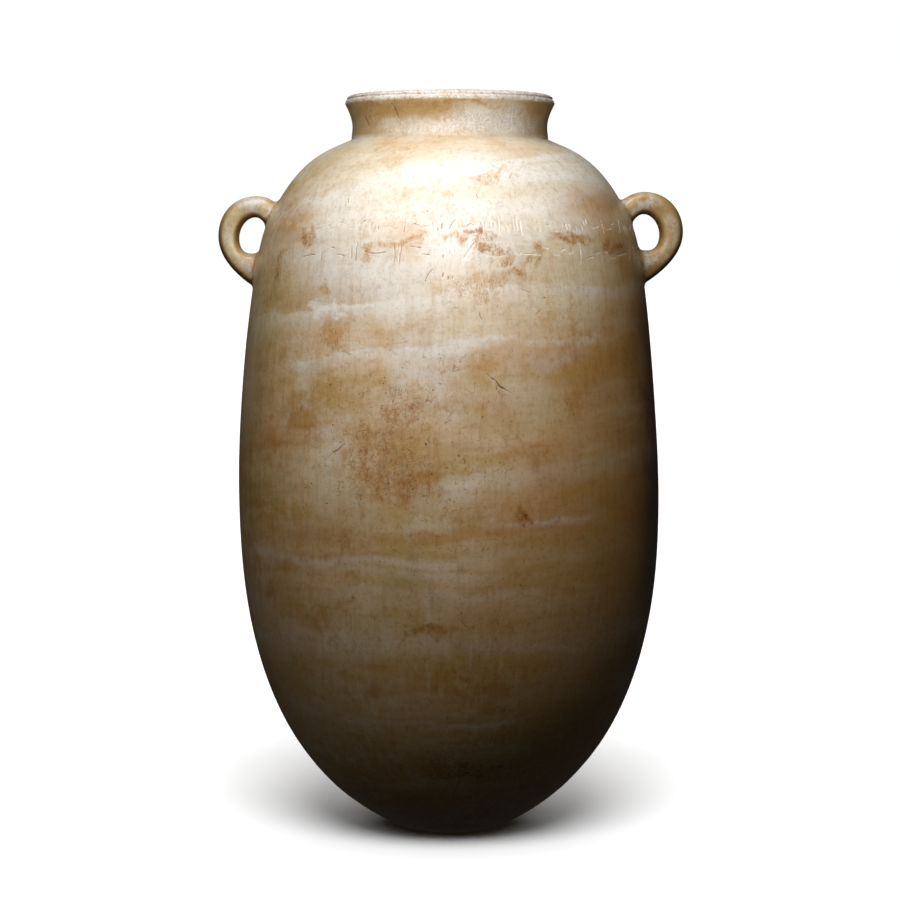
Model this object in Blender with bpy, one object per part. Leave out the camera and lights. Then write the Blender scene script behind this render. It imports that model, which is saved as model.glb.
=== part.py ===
"""A carved travertine jar of the alabastron family, cut from one block of stone.

The jar has a swelling body on a small worked flat, a steep shoulder, a short waisted
neck under a grooved rim, and two pierced loop handles high on its sides.  It is hollow,
with walls of true thickness and an open mouth.  The origin is at the middle of the flat
that it stands on, +Z is up, and the handles lie along X.  All sizes are in metres and
all angles in degrees.
"""

import math
from typing import NamedTuple

import bmesh
import bpy

# Heights and radii of the outside, from the foot up.
HEIGHT = 0.600
FOOT_RADIUS = 0.027
HEEL_RADIUS = 0.0992
HEEL_HEIGHT = 0.0409
BELLY_RADIUS = 0.1719
BELLY_HEIGHT = 0.2770
SHOULDER_RADIUS = 0.1494
SHOULDER_HEIGHT = 0.4932
NECK_RADIUS = 0.0799
NECK_FOOT_HEIGHT = 0.5641
LIP_RADIUS = 0.0849
LIP_HEIGHT = 0.5927

# Slopes of the outside above the horizontal.
FOOT_SLOPE = 2.0
HEEL_SLOPE = 45.6
SHOULDER_SLOPE = 66.9
NECK_FOOT_SLOPE = 24.5
LIP_SLOPE = 61.3

# The rim: a bead, a cut groove and a rounded band below the flat top.
BEAD_HEIGHT = 0.0031
GROOVE_DEPTH = 0.0012
GROOVE_WIDTH = 0.0016
RIM_TOP_RADIUS = 0.0792
MOUTH_RADIUS = 0.0714
MOUTH_ROUNDING = 0.0040

# The hollow: its wall is thickest at the foot and thinnest at the neck.
FLOOR_THICKNESS = 0.034
HEEL_WALL = 0.024
BELLY_WALL = 0.0184
SHOULDER_WALL = 0.016
THROAT_RADIUS = 0.0662
THROAT_HEIGHT = 0.574
VAULT_RADIUS = 0.0700
VAULT_HEIGHT = 0.5530

# The handles: outline of the bar and of its hole in the X-Z plane.
HANDLE_REACH = 0.1888
HANDLE_REACH_HEIGHT = 0.4880
HANDLE_TOP_RADIUS = 0.1560
HANDLE_TOP_HEIGHT = 0.5187
HOLE_REACH = 0.1714
HOLE_REACH_HEIGHT = 0.4862
HOLE_TOP_RADIUS = 0.1580
HOLE_TOP_HEIGHT = 0.5030

# Half the depth of a handle's bar along Y, its squareness, and how much higher the handle
# at +X was cut than the one at -X.
UPPER_ROOT_DEPTH = 0.0165
MIDDLE_DEPTH = 0.0118
LOWER_ROOT_DEPTH = 0.0160
BAR_SQUARENESS = 2.7
HANDLE_STAGGER = 0.0026

# Facets and shading.
ROUND_STEPS = 60
BAR_SIDES = 14
SHARP_ANGLE = 28.0
MERGE_DISTANCE = 0.00001

STONE_COLOUR = (0.62, 0.50, 0.34, 1.0)
STONE_ROUGHNESS = 0.32


class Knot(NamedTuple):
    """A place that an outline passes, with its heading above the horizontal there.

    before and after say how strongly the outline holds that heading as it arrives and as
    it leaves, as lengths, and facets is the number of straight pieces that lead up to it.
    """

    across: float
    up: float
    heading: float
    before: float
    after: float
    facets: int


def ahead(knot, distance):
    """The place reached from a knot by going a distance along its heading."""
    turn = math.radians(knot.heading)
    return (knot.across + distance * math.cos(turn), knot.up + distance * math.sin(turn))


def through(knots):
    """Points of the smooth outline through a row of knots, both ends among them."""
    points = [(knots[0].across, knots[0].up)]
    for start, end in zip(knots, knots[1:]):
        places = (ahead(start, 0.0), ahead(start, start.after), ahead(end, -end.before), ahead(end, 0.0))
        for step in range(1, end.facets + 1):
            t = step / end.facets
            s = 1.0 - t
            weights = (s * s * s, 3.0 * s * s * t, 3.0 * s * t * t, t * t * t)
            points.append(tuple(sum(w * p[axis] for w, p in zip(weights, places)) for axis in (0, 1)))
    return points


def outside_outline():
    """The outside of the jar, from the edge of its flat foot to the inner edge of its rim."""
    body = through([
        Knot(FOOT_RADIUS, 0.0, FOOT_SLOPE, 0.0, 0.0242, 0),
        Knot(HEEL_RADIUS, HEEL_HEIGHT, HEEL_SLOPE, 0.0196, 0.0597, 5),
        Knot(BELLY_RADIUS, BELLY_HEIGHT, 90.0, 0.1298, 0.0606, 9),
        Knot(SHOULDER_RADIUS, SHOULDER_HEIGHT, 180.0 - SHOULDER_SLOPE, 0.0296, 0.0621, 7),
        Knot(NECK_RADIUS, NECK_FOOT_HEIGHT, 180.0 - NECK_FOOT_SLOPE, 0.0209, 0.0, 8),
    ])
    neck = through([
        Knot(NECK_RADIUS, NECK_FOOT_HEIGHT, 90.0, 0.0, 0.0068, 0),
        Knot(LIP_RADIUS, LIP_HEIGHT, LIP_SLOPE, 0.0184, 0.0, 5),
    ])
    return body + neck[1:] + rim_outline()


def rim_outline():
    """The rim above its widest edge: bead, groove, rounded band and flat top."""
    bead_top = LIP_HEIGHT + BEAD_HEIGHT
    band_foot = bead_top + GROOVE_WIDTH
    band_radius = LIP_RADIUS - GROOVE_DEPTH
    return [
        (LIP_RADIUS, LIP_HEIGHT + 0.4 * BEAD_HEIGHT),
        (LIP_RADIUS - 0.3 * GROOVE_DEPTH, bead_top),
        (band_radius - 0.3 * GROOVE_DEPTH, 0.5 * (bead_top + band_foot)),
        (band_radius, band_foot),
        (0.6 * band_radius + 0.4 * RIM_TOP_RADIUS, 0.35 * band_foot + 0.65 * HEIGHT),
        (RIM_TOP_RADIUS, HEIGHT),
        (MOUTH_RADIUS, HEIGHT),
        (MOUTH_RADIUS - 0.4 * MOUTH_ROUNDING, HEIGHT - 0.25 * MOUTH_ROUNDING),
        (MOUTH_RADIUS - 0.6 * MOUTH_ROUNDING, HEIGHT - MOUTH_ROUNDING),
    ]


def inside_place(across, up, slope, wall):
    """The place a wall's thickness in from the outside, square to its slope there."""
    turn = math.radians(90.0 + slope)
    return (across + wall * math.cos(turn), up + wall * math.sin(turn))


def hollow_outline():
    """The hollow of the jar, from its throat down to the middle of its floor."""
    shoulder = inside_place(SHOULDER_RADIUS, SHOULDER_HEIGHT, 180.0 - SHOULDER_SLOPE, SHOULDER_WALL)
    heel = inside_place(HEEL_RADIUS, HEEL_HEIGHT, HEEL_SLOPE, HEEL_WALL)
    throat = through([
        Knot(THROAT_RADIUS, THROAT_HEIGHT, 270.0, 0.0, 0.009, 0),
        Knot(VAULT_RADIUS, VAULT_HEIGHT, 320.0, 0.006, 0.0, 2),
    ])
    chamber = through([
        Knot(VAULT_RADIUS, VAULT_HEIGHT, 360.0 - NECK_FOOT_SLOPE, 0.0, 0.021, 0),
        Knot(*shoulder, 360.0 - SHOULDER_SLOPE, 0.052, 0.026, 5),
        Knot(BELLY_RADIUS - BELLY_WALL, BELLY_HEIGHT, 270.0, 0.065, 0.107, 4),
        Knot(*heel, 180.0 + HEEL_SLOPE, 0.055, 0.022, 6),
        Knot(0.0, FLOOR_THICKNESS, 180.0, 0.034, 0.0, 4),
    ])
    return throat + chamber[1:]


def turned_jar():
    """The jar without its handles, turned about Z from its outline."""
    outline = [(0.0, 0.0)] + outside_outline() + hollow_outline()
    shape = bmesh.new()
    corners = [shape.verts.new((across, 0.0, up)) for across, up in outline]
    edges = [shape.edges.new(pair) for pair in zip(corners, corners[1:])]
    bmesh.ops.spin(shape, geom=corners + edges, axis=(0.0, 0.0, 1.0), cent=(0.0, 0.0, 0.0),
                   angle=math.tau, steps=ROUND_STEPS, use_merge=True)
    bmesh.ops.remove_doubles(shape, verts=shape.verts[:], dist=MERGE_DISTANCE)
    return finished_mesh(shape, "jar_wall")


def bar_outline():
    """The outer edge of a handle, from its upper root over the top to its lower root."""
    return through([
        Knot(0.1340, 0.5115, 20.0, 0.0, 0.007, 0),
        Knot(HANDLE_TOP_RADIUS, HANDLE_TOP_HEIGHT, 0.0, 0.009, 0.0190, 4),
        Knot(HANDLE_REACH, HANDLE_REACH_HEIGHT, 270.0, 0.0165, 0.0230, 7),
        Knot(0.1470, 0.4380, 213.0, 0.020, 0.0, 8),
    ])


def hole_outline():
    """The edge of a handle's hole, with a point for each point of the outer edge."""
    return through([
        Knot(0.1420, 0.4850, 60.0, 0.0, 0.010, 0),
        Knot(HOLE_TOP_RADIUS, HOLE_TOP_HEIGHT, 0.0, 0.0065, 0.0079, 4),
        Knot(HOLE_REACH, HOLE_REACH_HEIGHT, 270.0, 0.0078, 0.0135, 7),
        Knot(0.1455, 0.4790, 149.0, 0.0185, 0.0, 8),
    ])


def bar_depth(share):
    """Half the depth of the bar, at a share of the way from its upper to its lower root."""
    root = UPPER_ROOT_DEPTH if share < 0.5 else LOWER_ROOT_DEPTH
    return MIDDLE_DEPTH + (root - MIDDLE_DEPTH) * (2.0 * share - 1.0) ** 2


def squared(value):
    """One coordinate of a rounded square section, from that of a circle."""
    return math.copysign(abs(value) ** (2.0 / BAR_SQUARENESS), value)


def loop_handle(side, lift):
    """One loop handle with both roots buried in the wall; side is 1 for +X and -1 for -X."""
    shape = bmesh.new()
    rings = []
    outer, inner = bar_outline(), hole_outline()
    for number, (bar, hole) in enumerate(zip(outer, inner)):
        depth = bar_depth(number / (len(outer) - 1))
        ring = []
        for corner in range(BAR_SIDES):
            turn = math.tau * corner / BAR_SIDES
            share = 0.5 + 0.5 * squared(math.cos(turn))
            across = hole[0] + share * (bar[0] - hole[0])
            up = hole[1] + share * (bar[1] - hole[1])
            ring.append(shape.verts.new((side * across, depth * squared(math.sin(turn)), up + lift)))
        rings.append([shape.edges.new((ring[k - 1], ring[k])) for k in range(BAR_SIDES)])
    for lower, upper in zip(rings, rings[1:]):
        bmesh.ops.bridge_loops(shape, edges=lower + upper)
    bmesh.ops.holes_fill(shape, edges=rings[0] + rings[-1], sides=BAR_SIDES)
    return finished_mesh(shape, "handle_bar")


def finished_mesh(shape, name):
    """A smooth-shaded mesh with its faces outward, made from a shape, which is freed."""
    bmesh.ops.recalc_face_normals(shape, faces=shape.faces[:])
    mesh = bpy.data.meshes.new(name)
    shape.to_mesh(mesh)
    shape.free()
    mesh.shade_smooth()
    mesh.set_sharp_from_angle(angle=math.radians(SHARP_ANGLE))
    return mesh


def stone_material():
    """Polished honey-coloured travertine."""
    material = bpy.data.materials.new("travertine")
    material.use_nodes = True
    shader = material.node_tree.nodes["Principled BSDF"]
    shader.inputs["Base Color"].default_value = STONE_COLOUR
    shader.inputs["Roughness"].default_value = STONE_ROUGHNESS
    shader.inputs["Metallic"].default_value = 0.0
    return material


def place(name, mesh):
    """A new object in the scene that shows a mesh."""
    item = bpy.data.objects.new(name, mesh)
    bpy.context.scene.collection.objects.link(item)
    return item


def build():
    """Make the jar: the turned body with both handles joined on as one stone."""
    for item in list(bpy.data.objects):
        bpy.data.objects.remove(item, do_unlink=True)
    jar = place("vessel", turned_jar())
    jar.data.materials.append(stone_material())
    for name, side in (("left", -1.0), ("right", 1.0)):
        bar = place("handle_" + name, loop_handle(side, 0.5 * side * HANDLE_STAGGER))
        bar.hide_render = True
        bar.display_type = "WIRE"
        join = jar.modifiers.new("join_" + name, "BOOLEAN")
        join.operation = "UNION"
        join.solver = "EXACT"
        join.object = bar


build()
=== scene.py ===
"""The looks of a carved travertine jar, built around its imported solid.

One fine mesh stands for the jar: body, neck, rim and both loop handles are one stone.  It
carries rows of shallow cut strokes, scratches, pits and chips, and a banded, slightly
translucent stone.  Lengths are in metres, angles in degrees and +Z is up.  The cut strokes
face -Y and the handles lie along X.
"""

from __future__ import annotations

import logging
import math
import random
from dataclasses import dataclass, field, replace
from enum import Enum
from functools import cached_property, reduce
from typing import Iterable, NamedTuple, Sequence

import bmesh
import bpy
import numpy as np
from mathutils import Euler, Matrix, Vector, kdtree, noise

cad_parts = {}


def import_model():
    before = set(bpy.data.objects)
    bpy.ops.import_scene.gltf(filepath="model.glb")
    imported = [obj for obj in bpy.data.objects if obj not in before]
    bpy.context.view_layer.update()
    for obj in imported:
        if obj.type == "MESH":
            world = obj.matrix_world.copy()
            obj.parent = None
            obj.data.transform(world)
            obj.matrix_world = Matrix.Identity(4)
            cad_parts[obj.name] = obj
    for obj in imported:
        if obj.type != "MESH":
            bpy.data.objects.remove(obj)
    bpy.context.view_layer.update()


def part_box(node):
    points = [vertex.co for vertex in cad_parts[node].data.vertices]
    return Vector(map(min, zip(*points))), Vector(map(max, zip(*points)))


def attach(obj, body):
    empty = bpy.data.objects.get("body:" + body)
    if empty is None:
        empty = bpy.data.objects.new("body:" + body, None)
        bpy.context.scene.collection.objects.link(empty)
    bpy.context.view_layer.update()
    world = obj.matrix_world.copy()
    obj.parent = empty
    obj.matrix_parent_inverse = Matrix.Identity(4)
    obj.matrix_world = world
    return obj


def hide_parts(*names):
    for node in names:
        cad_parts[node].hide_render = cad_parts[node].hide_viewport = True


LOG = logging.getLogger("jar")
NODE = "vessel"
BODY = "root"

CURVE_STEPS = 400
HEIGHT_SLACK = 0.0005

Place = tuple[float, float]
Span = tuple[float, float]
Triple = tuple[float, float, float]


# --------------------------------------------------------------------------- outlines


class Knot(NamedTuple):
    """A place that an outline passes, with its heading above the horizontal there.

    before and after say how strongly the outline holds that heading as it arrives and as
    it leaves, as lengths.
    """

    across: float
    up: float
    heading: float
    before: float
    after: float

    def ahead(self, distance: float) -> Place:
        """The place reached by going a distance along the knot's heading."""
        turn = math.radians(self.heading)
        return (self.across + distance * math.cos(turn), self.up + distance * math.sin(turn))


def through(knots: Sequence[Knot], spacing: float) -> list[Place]:
    """Lay evenly spaced points on the smooth outline through a row of knots.

    Args:
        knots: The knots, in order along the outline.
        spacing: The distance aimed at between neighbouring points.

    Returns:
        The points, both ends of the outline among them.
    """
    points = [knots[0].ahead(0.0)]
    for start, end in zip(knots, knots[1:]):
        places = np.array([start.ahead(0.0), start.ahead(start.after),
                           end.ahead(-end.before), end.ahead(0.0)])
        share = np.linspace(0.0, 1.0, CURVE_STEPS + 1)[:, None]
        rest = 1.0 - share
        curve = (rest**3 * places[0] + 3.0 * rest**2 * share * places[1]
                 + 3.0 * rest * share**2 * places[2] + share**3 * places[3])
        points += spaced(curve, max(1, round(lengths(curve)[-1] / spacing)) + 1)[1:]
    return points


def lengths(curve: np.ndarray) -> np.ndarray:
    """How far along a row of points each of them is."""
    return np.concatenate([[0.0], np.cumsum(np.linalg.norm(np.diff(curve, axis=0), axis=1))])


def spaced(curve: np.ndarray, count: int) -> list[Place]:
    """Lay evenly spaced points along a close row of points.

    Args:
        curve: The close points, one row each.
        count: How many points to lay, both ends among them.

    Returns:
        The points.
    """
    run = lengths(curve)
    stops = np.linspace(0.0, run[-1], count)
    across, up = np.interp(stops, run, curve[:, 0]), np.interp(stops, run, curve[:, 1])
    return [(float(x), float(z)) for x, z in zip(across, up)]


@dataclass
class JarForm:
    """The sizes of the turned jar and the outlines that follow from them."""

    height: float = 0.600
    foot_radius: float = 0.027
    heel: Place = (0.0992, 0.0409)
    heel_slope: float = 45.6
    belly: Place = (0.1719, 0.2770)
    shoulder: Place = (0.1494, 0.4932)
    shoulder_slope: float = 66.9
    neck_foot: Place = (0.0799, 0.5641)
    neck_foot_slope: float = 24.5
    lip: Place = (0.0849, 0.5927)
    lip_slope: float = 61.3
    bead_height: float = 0.0031
    groove_depth: float = 0.0012
    groove_width: float = 0.0016
    rim_top_radius: float = 0.0792
    mouth_radius: float = 0.0714
    mouth_rounding: float = 0.0040
    floor_thickness: float = 0.034
    heel_wall: float = 0.024
    belly_wall: float = 0.0184
    shoulder_wall: float = 0.016
    throat: Place = (0.0662, 0.574)
    vault: Place = (0.0700, 0.5530)
    outer_spacing: float = 0.0050
    inner_spacing: float = 0.0120
    wall_spacing: float = 0.0008
    merge_gap: float = 0.00001
    steps: int = 192

    def body_outline(self) -> list[Place]:
        """The outside from the edge of the flat foot to the foot of the neck."""
        return through([
            Knot(self.foot_radius, 0.0, 2.0, 0.0, 0.0242),
            Knot(*self.heel, self.heel_slope, 0.0196, 0.0597),
            Knot(*self.belly, 90.0, 0.1298, 0.0606),
            Knot(*self.shoulder, 180.0 - self.shoulder_slope, 0.0296, 0.0621),
            Knot(*self.neck_foot, 180.0 - self.neck_foot_slope, 0.0209, 0.0),
        ], self.outer_spacing)

    def neck_outline(self) -> list[Place]:
        """The waisted neck, from its foot to the widest edge of the lip."""
        return through([
            Knot(*self.neck_foot, 90.0, 0.0, 0.0068),
            Knot(*self.lip, self.lip_slope, 0.0184, 0.0),
        ], 0.5 * self.outer_spacing)

    def rim_outline(self) -> list[Place]:
        """Draw the rim above the lip.

        Returns:
            Its bead, groove, rounded band, flat top and mouth edge.
        """
        bead_top = self.lip[1] + self.bead_height
        band_foot = bead_top + self.groove_width
        band_radius = self.lip[0] - self.groove_depth
        dip = 0.3 * self.groove_depth
        band = through([
            Knot(band_radius - 0.5 * dip, band_foot, 50.0, 0.0, 0.0006),
            Knot(self.rim_top_radius, self.height, 172.0, 0.0020, 0.0),
        ], 0.0009)
        mouth = through([
            Knot(self.mouth_radius, self.height, 185.0, 0.0, 0.0018),
            Knot(self.mouth_radius - 0.6 * self.mouth_rounding,
                 self.height - self.mouth_rounding, 262.0, 0.0020, 0.0),
        ], 0.0012)
        edge = [
            (self.lip[0] + 0.0001, self.lip[1] + 0.35 * self.bead_height),
            (self.lip[0] - 0.5 * dip, self.lip[1] + 0.75 * self.bead_height),
            (self.lip[0] - 2.0 * dip, bead_top),
            (band_radius - 1.4 * dip, bead_top + 0.4 * self.groove_width),
        ]
        return edge + band + mouth

    def hollow_outline(self) -> list[Place]:
        """Draw the hollow.

        Returns:
            Its outline, from its throat down to the middle of its floor.
        """
        shoulder = self.inward(self.shoulder, 180.0 - self.shoulder_slope, self.shoulder_wall)
        heel = self.inward(self.heel, self.heel_slope, self.heel_wall)
        throat = through([
            Knot(*self.throat, 270.0, 0.0, 0.009),
            Knot(*self.vault, 320.0, 0.006, 0.0),
        ], 0.5 * self.inner_spacing)
        chamber = through([
            Knot(*self.vault, 360.0 - self.neck_foot_slope, 0.0, 0.021),
            Knot(*shoulder, 360.0 - self.shoulder_slope, 0.052, 0.026),
            Knot(self.belly[0] - self.belly_wall, self.belly[1], 270.0, 0.065, 0.107),
            Knot(*heel, 180.0 + self.heel_slope, 0.055, 0.022),
            Knot(0.0, self.floor_thickness, 180.0, 0.034, 0.0),
        ], self.inner_spacing)
        return throat + chamber[1:]

    @staticmethod
    def inward(place: Place, slope: float, wall: float) -> Place:
        """The place a wall's thickness in from the outside, square to its slope."""
        turn = math.radians(90.0 + slope)
        return (place[0] + wall * math.cos(turn), place[1] + wall * math.sin(turn))

    @cached_property
    def wall(self) -> np.ndarray:
        """Close places up the outside from the foot to the lip, as rows of (radius, height)."""
        finer = replace(self, outer_spacing=self.wall_spacing)
        return np.array(finer.body_outline() + finer.neck_outline()[1:])

    def outer_radius(self, heights: np.ndarray) -> np.ndarray:
        """The outer radius at each of some heights; above the lip it is the lip's."""
        return np.interp(heights, self.wall[:, 1], self.wall[:, 0])

    def on_wall(self, azimuth: float, height: float) -> Vector:
        """Find a place on the outside of the wall.

        Args:
            azimuth: The angle round the axis from the front, in degrees.
            height: The height above the floor.

        Returns:
            The place.
        """
        radius = float(self.outer_radius(np.array([height]))[0])
        turn = math.radians(azimuth)
        return Vector((radius * math.sin(turn), -radius * math.cos(turn), height))

    def turned(self) -> bpy.types.Object:
        """Turn the closed outline about Z.

        Returns:
            The jar without its handles.
        """
        outline = [(0.0, 0.0), (0.5 * self.foot_radius, 0.0)]
        outline += self.body_outline() + self.neck_outline()[1:] + self.rim_outline()
        outline += self.hollow_outline()
        shape = bmesh.new()
        corners = [shape.verts.new((across, 0.0, up)) for across, up in outline]
        edges = [shape.edges.new(pair) for pair in zip(corners, corners[1:])]
        bmesh.ops.spin(shape, geom=corners + edges, axis=(0.0, 0.0, 1.0), cent=(0.0, 0.0, 0.0),
                       angle=math.tau, steps=self.steps, use_merge=True)
        bmesh.ops.remove_doubles(shape, verts=shape.verts[:], dist=self.merge_gap)
        bmesh.ops.recalc_face_normals(shape, faces=shape.faces[:])
        return placed("jar_wall", shape)


@dataclass
class LoopHandle:
    """One pierced loop handle: a squarish bar bent from the shoulder to the wall below."""

    side: float
    lift: float
    reach: float = 0.1888
    top: Place = (0.1560, 0.5187)
    reach_height: float = 0.4880
    hole_reach: float = 0.1714
    hole_reach_height: float = 0.4862
    hole_top: Place = (0.1580, 0.5030)
    upper_root: Place = (0.1340, 0.5115)
    lower_root: Place = (0.1470, 0.4380)
    upper_root_depth: float = 0.0165
    middle_depth: float = 0.0118
    lower_root_depth: float = 0.0160
    squareness: float = 2.7
    sides: int = 28
    spacing: float = 0.0030

    def bar_outline(self) -> list[Place]:
        """The outer edge of the bar, from its upper root to its lower root."""
        return through([
            Knot(*self.upper_root, 20.0, 0.0, 0.007),
            Knot(*self.top, 0.0, 0.010, 0.0200),
            Knot(self.reach, self.reach_height, 270.0, 0.0172, 0.0230),
            Knot(*self.lower_root, 213.0, 0.020, 0.0),
        ], self.spacing)

    def hole_outline(self, count: int) -> list[Place]:
        """Lay points along the hole's edge, one for each point of the outer edge.

        Args:
            count: How many points to lay.

        Returns:
            The points, from the upper root to the lower root.
        """
        fine = np.array(through([
            Knot(0.1420, 0.4850, 60.0, 0.0, 0.010),
            Knot(*self.hole_top, 0.0, 0.0065, 0.0079),
            Knot(self.hole_reach, self.hole_reach_height, 270.0, 0.0078, 0.0135),
            Knot(0.1455, 0.4790, 149.0, 0.0185, 0.0),
        ], 0.25 * self.spacing))
        return spaced(fine, count)

    def depth(self, share: float) -> float:
        """Half the depth of the bar, at a share of the way from its upper to its lower root."""
        root = self.upper_root_depth if share < 0.5 else self.lower_root_depth
        return self.middle_depth + (root - self.middle_depth) * (2.0 * share - 1.0) ** 2

    def squared(self, value: float) -> float:
        """One coordinate of a rounded square section, from that of a circle."""
        return math.copysign(abs(value) ** (2.0 / self.squareness), value)

    def swept(self) -> bpy.types.Object:
        """Sweep the bar's section from root to root.

        Returns:
            The bar, with both of its roots inside the wall.
        """
        shape = bmesh.new()
        rings = []
        outer = self.bar_outline()
        inner = self.hole_outline(len(outer))
        for number, (bar, hole) in enumerate(zip(outer, inner)):
            depth = self.depth(number / (len(outer) - 1))
            ring = []
            for corner in range(self.sides):
                turn = math.tau * corner / self.sides
                share = 0.5 + 0.5 * self.squared(math.cos(turn))
                across = hole[0] + share * (bar[0] - hole[0])
                up = hole[1] + share * (bar[1] - hole[1]) + self.lift
                ring.append(shape.verts.new((self.side * across, depth * self.squared(math.sin(turn)), up)))
            rings.append([shape.edges.new((ring[k - 1], ring[k])) for k in range(self.sides)])
        for lower, upper in zip(rings, rings[1:]):
            bmesh.ops.bridge_loops(shape, edges=lower + upper)
        bmesh.ops.holes_fill(shape, edges=rings[0] + rings[-1], sides=self.sides)
        bmesh.ops.recalc_face_normals(shape, faces=shape.faces[:])
        return placed("handle_bar", shape)


def placed(name: str, shape: bmesh.types.BMesh) -> bpy.types.Object:
    """Put a shape in the scene as a smooth-shaded object, and free it.

    Args:
        name: The object's name.
        shape: The shape, in the object's own place.

    Returns:
        The new object.
    """
    mesh = bpy.data.meshes.new(name)
    shape.to_mesh(mesh)
    shape.free()
    mesh.shade_smooth()
    item = bpy.data.objects.new(name, mesh)
    bpy.context.scene.collection.objects.link(item)
    return item


# --------------------------------------------------------------------------- cut marks


class Ink(Enum):
    """What a mark in the stone is, which decides the tone that it holds."""

    CUT = "cut"
    SCRATCH = "scratch"
    CHIP = "chip"


class Way(Enum):
    """The way that a stroke runs."""

    UP = "up"
    ACROSS = "across"
    ASLANT = "aslant"


class StrokeKind(Enum):
    """The plain strokes that the cut rows are made of.  None of them is a letter.

    Each holds its name, the way that it runs and how often it comes up.
    """

    UPRIGHT = ("upright", Way.UP, 5)
    LEVEL = ("level", Way.ACROSS, 3)
    SLANT = ("slant", Way.ASLANT, 3)
    UPRIGHTS = ("two uprights", Way.UP, 5)
    LEVELS = ("two levels", Way.ACROSS, 2)
    NICKS = ("three nicks", Way.UP, 4)
    WAVE = ("wave", Way.ACROSS, 1)

    @property
    def way(self) -> Way:
        """The way that the stroke runs."""
        return self.value[1]

    @property
    def weight(self) -> int:
        """How often the stroke comes up, beside the others."""
        return self.value[2]


@dataclass(frozen=True)
class Groove:
    """A straight groove between two places on the outside of the stone."""

    start: Vector
    end: Vector
    half_width: float
    depth: float
    ink: Ink
    tone: float = 1.0


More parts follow.
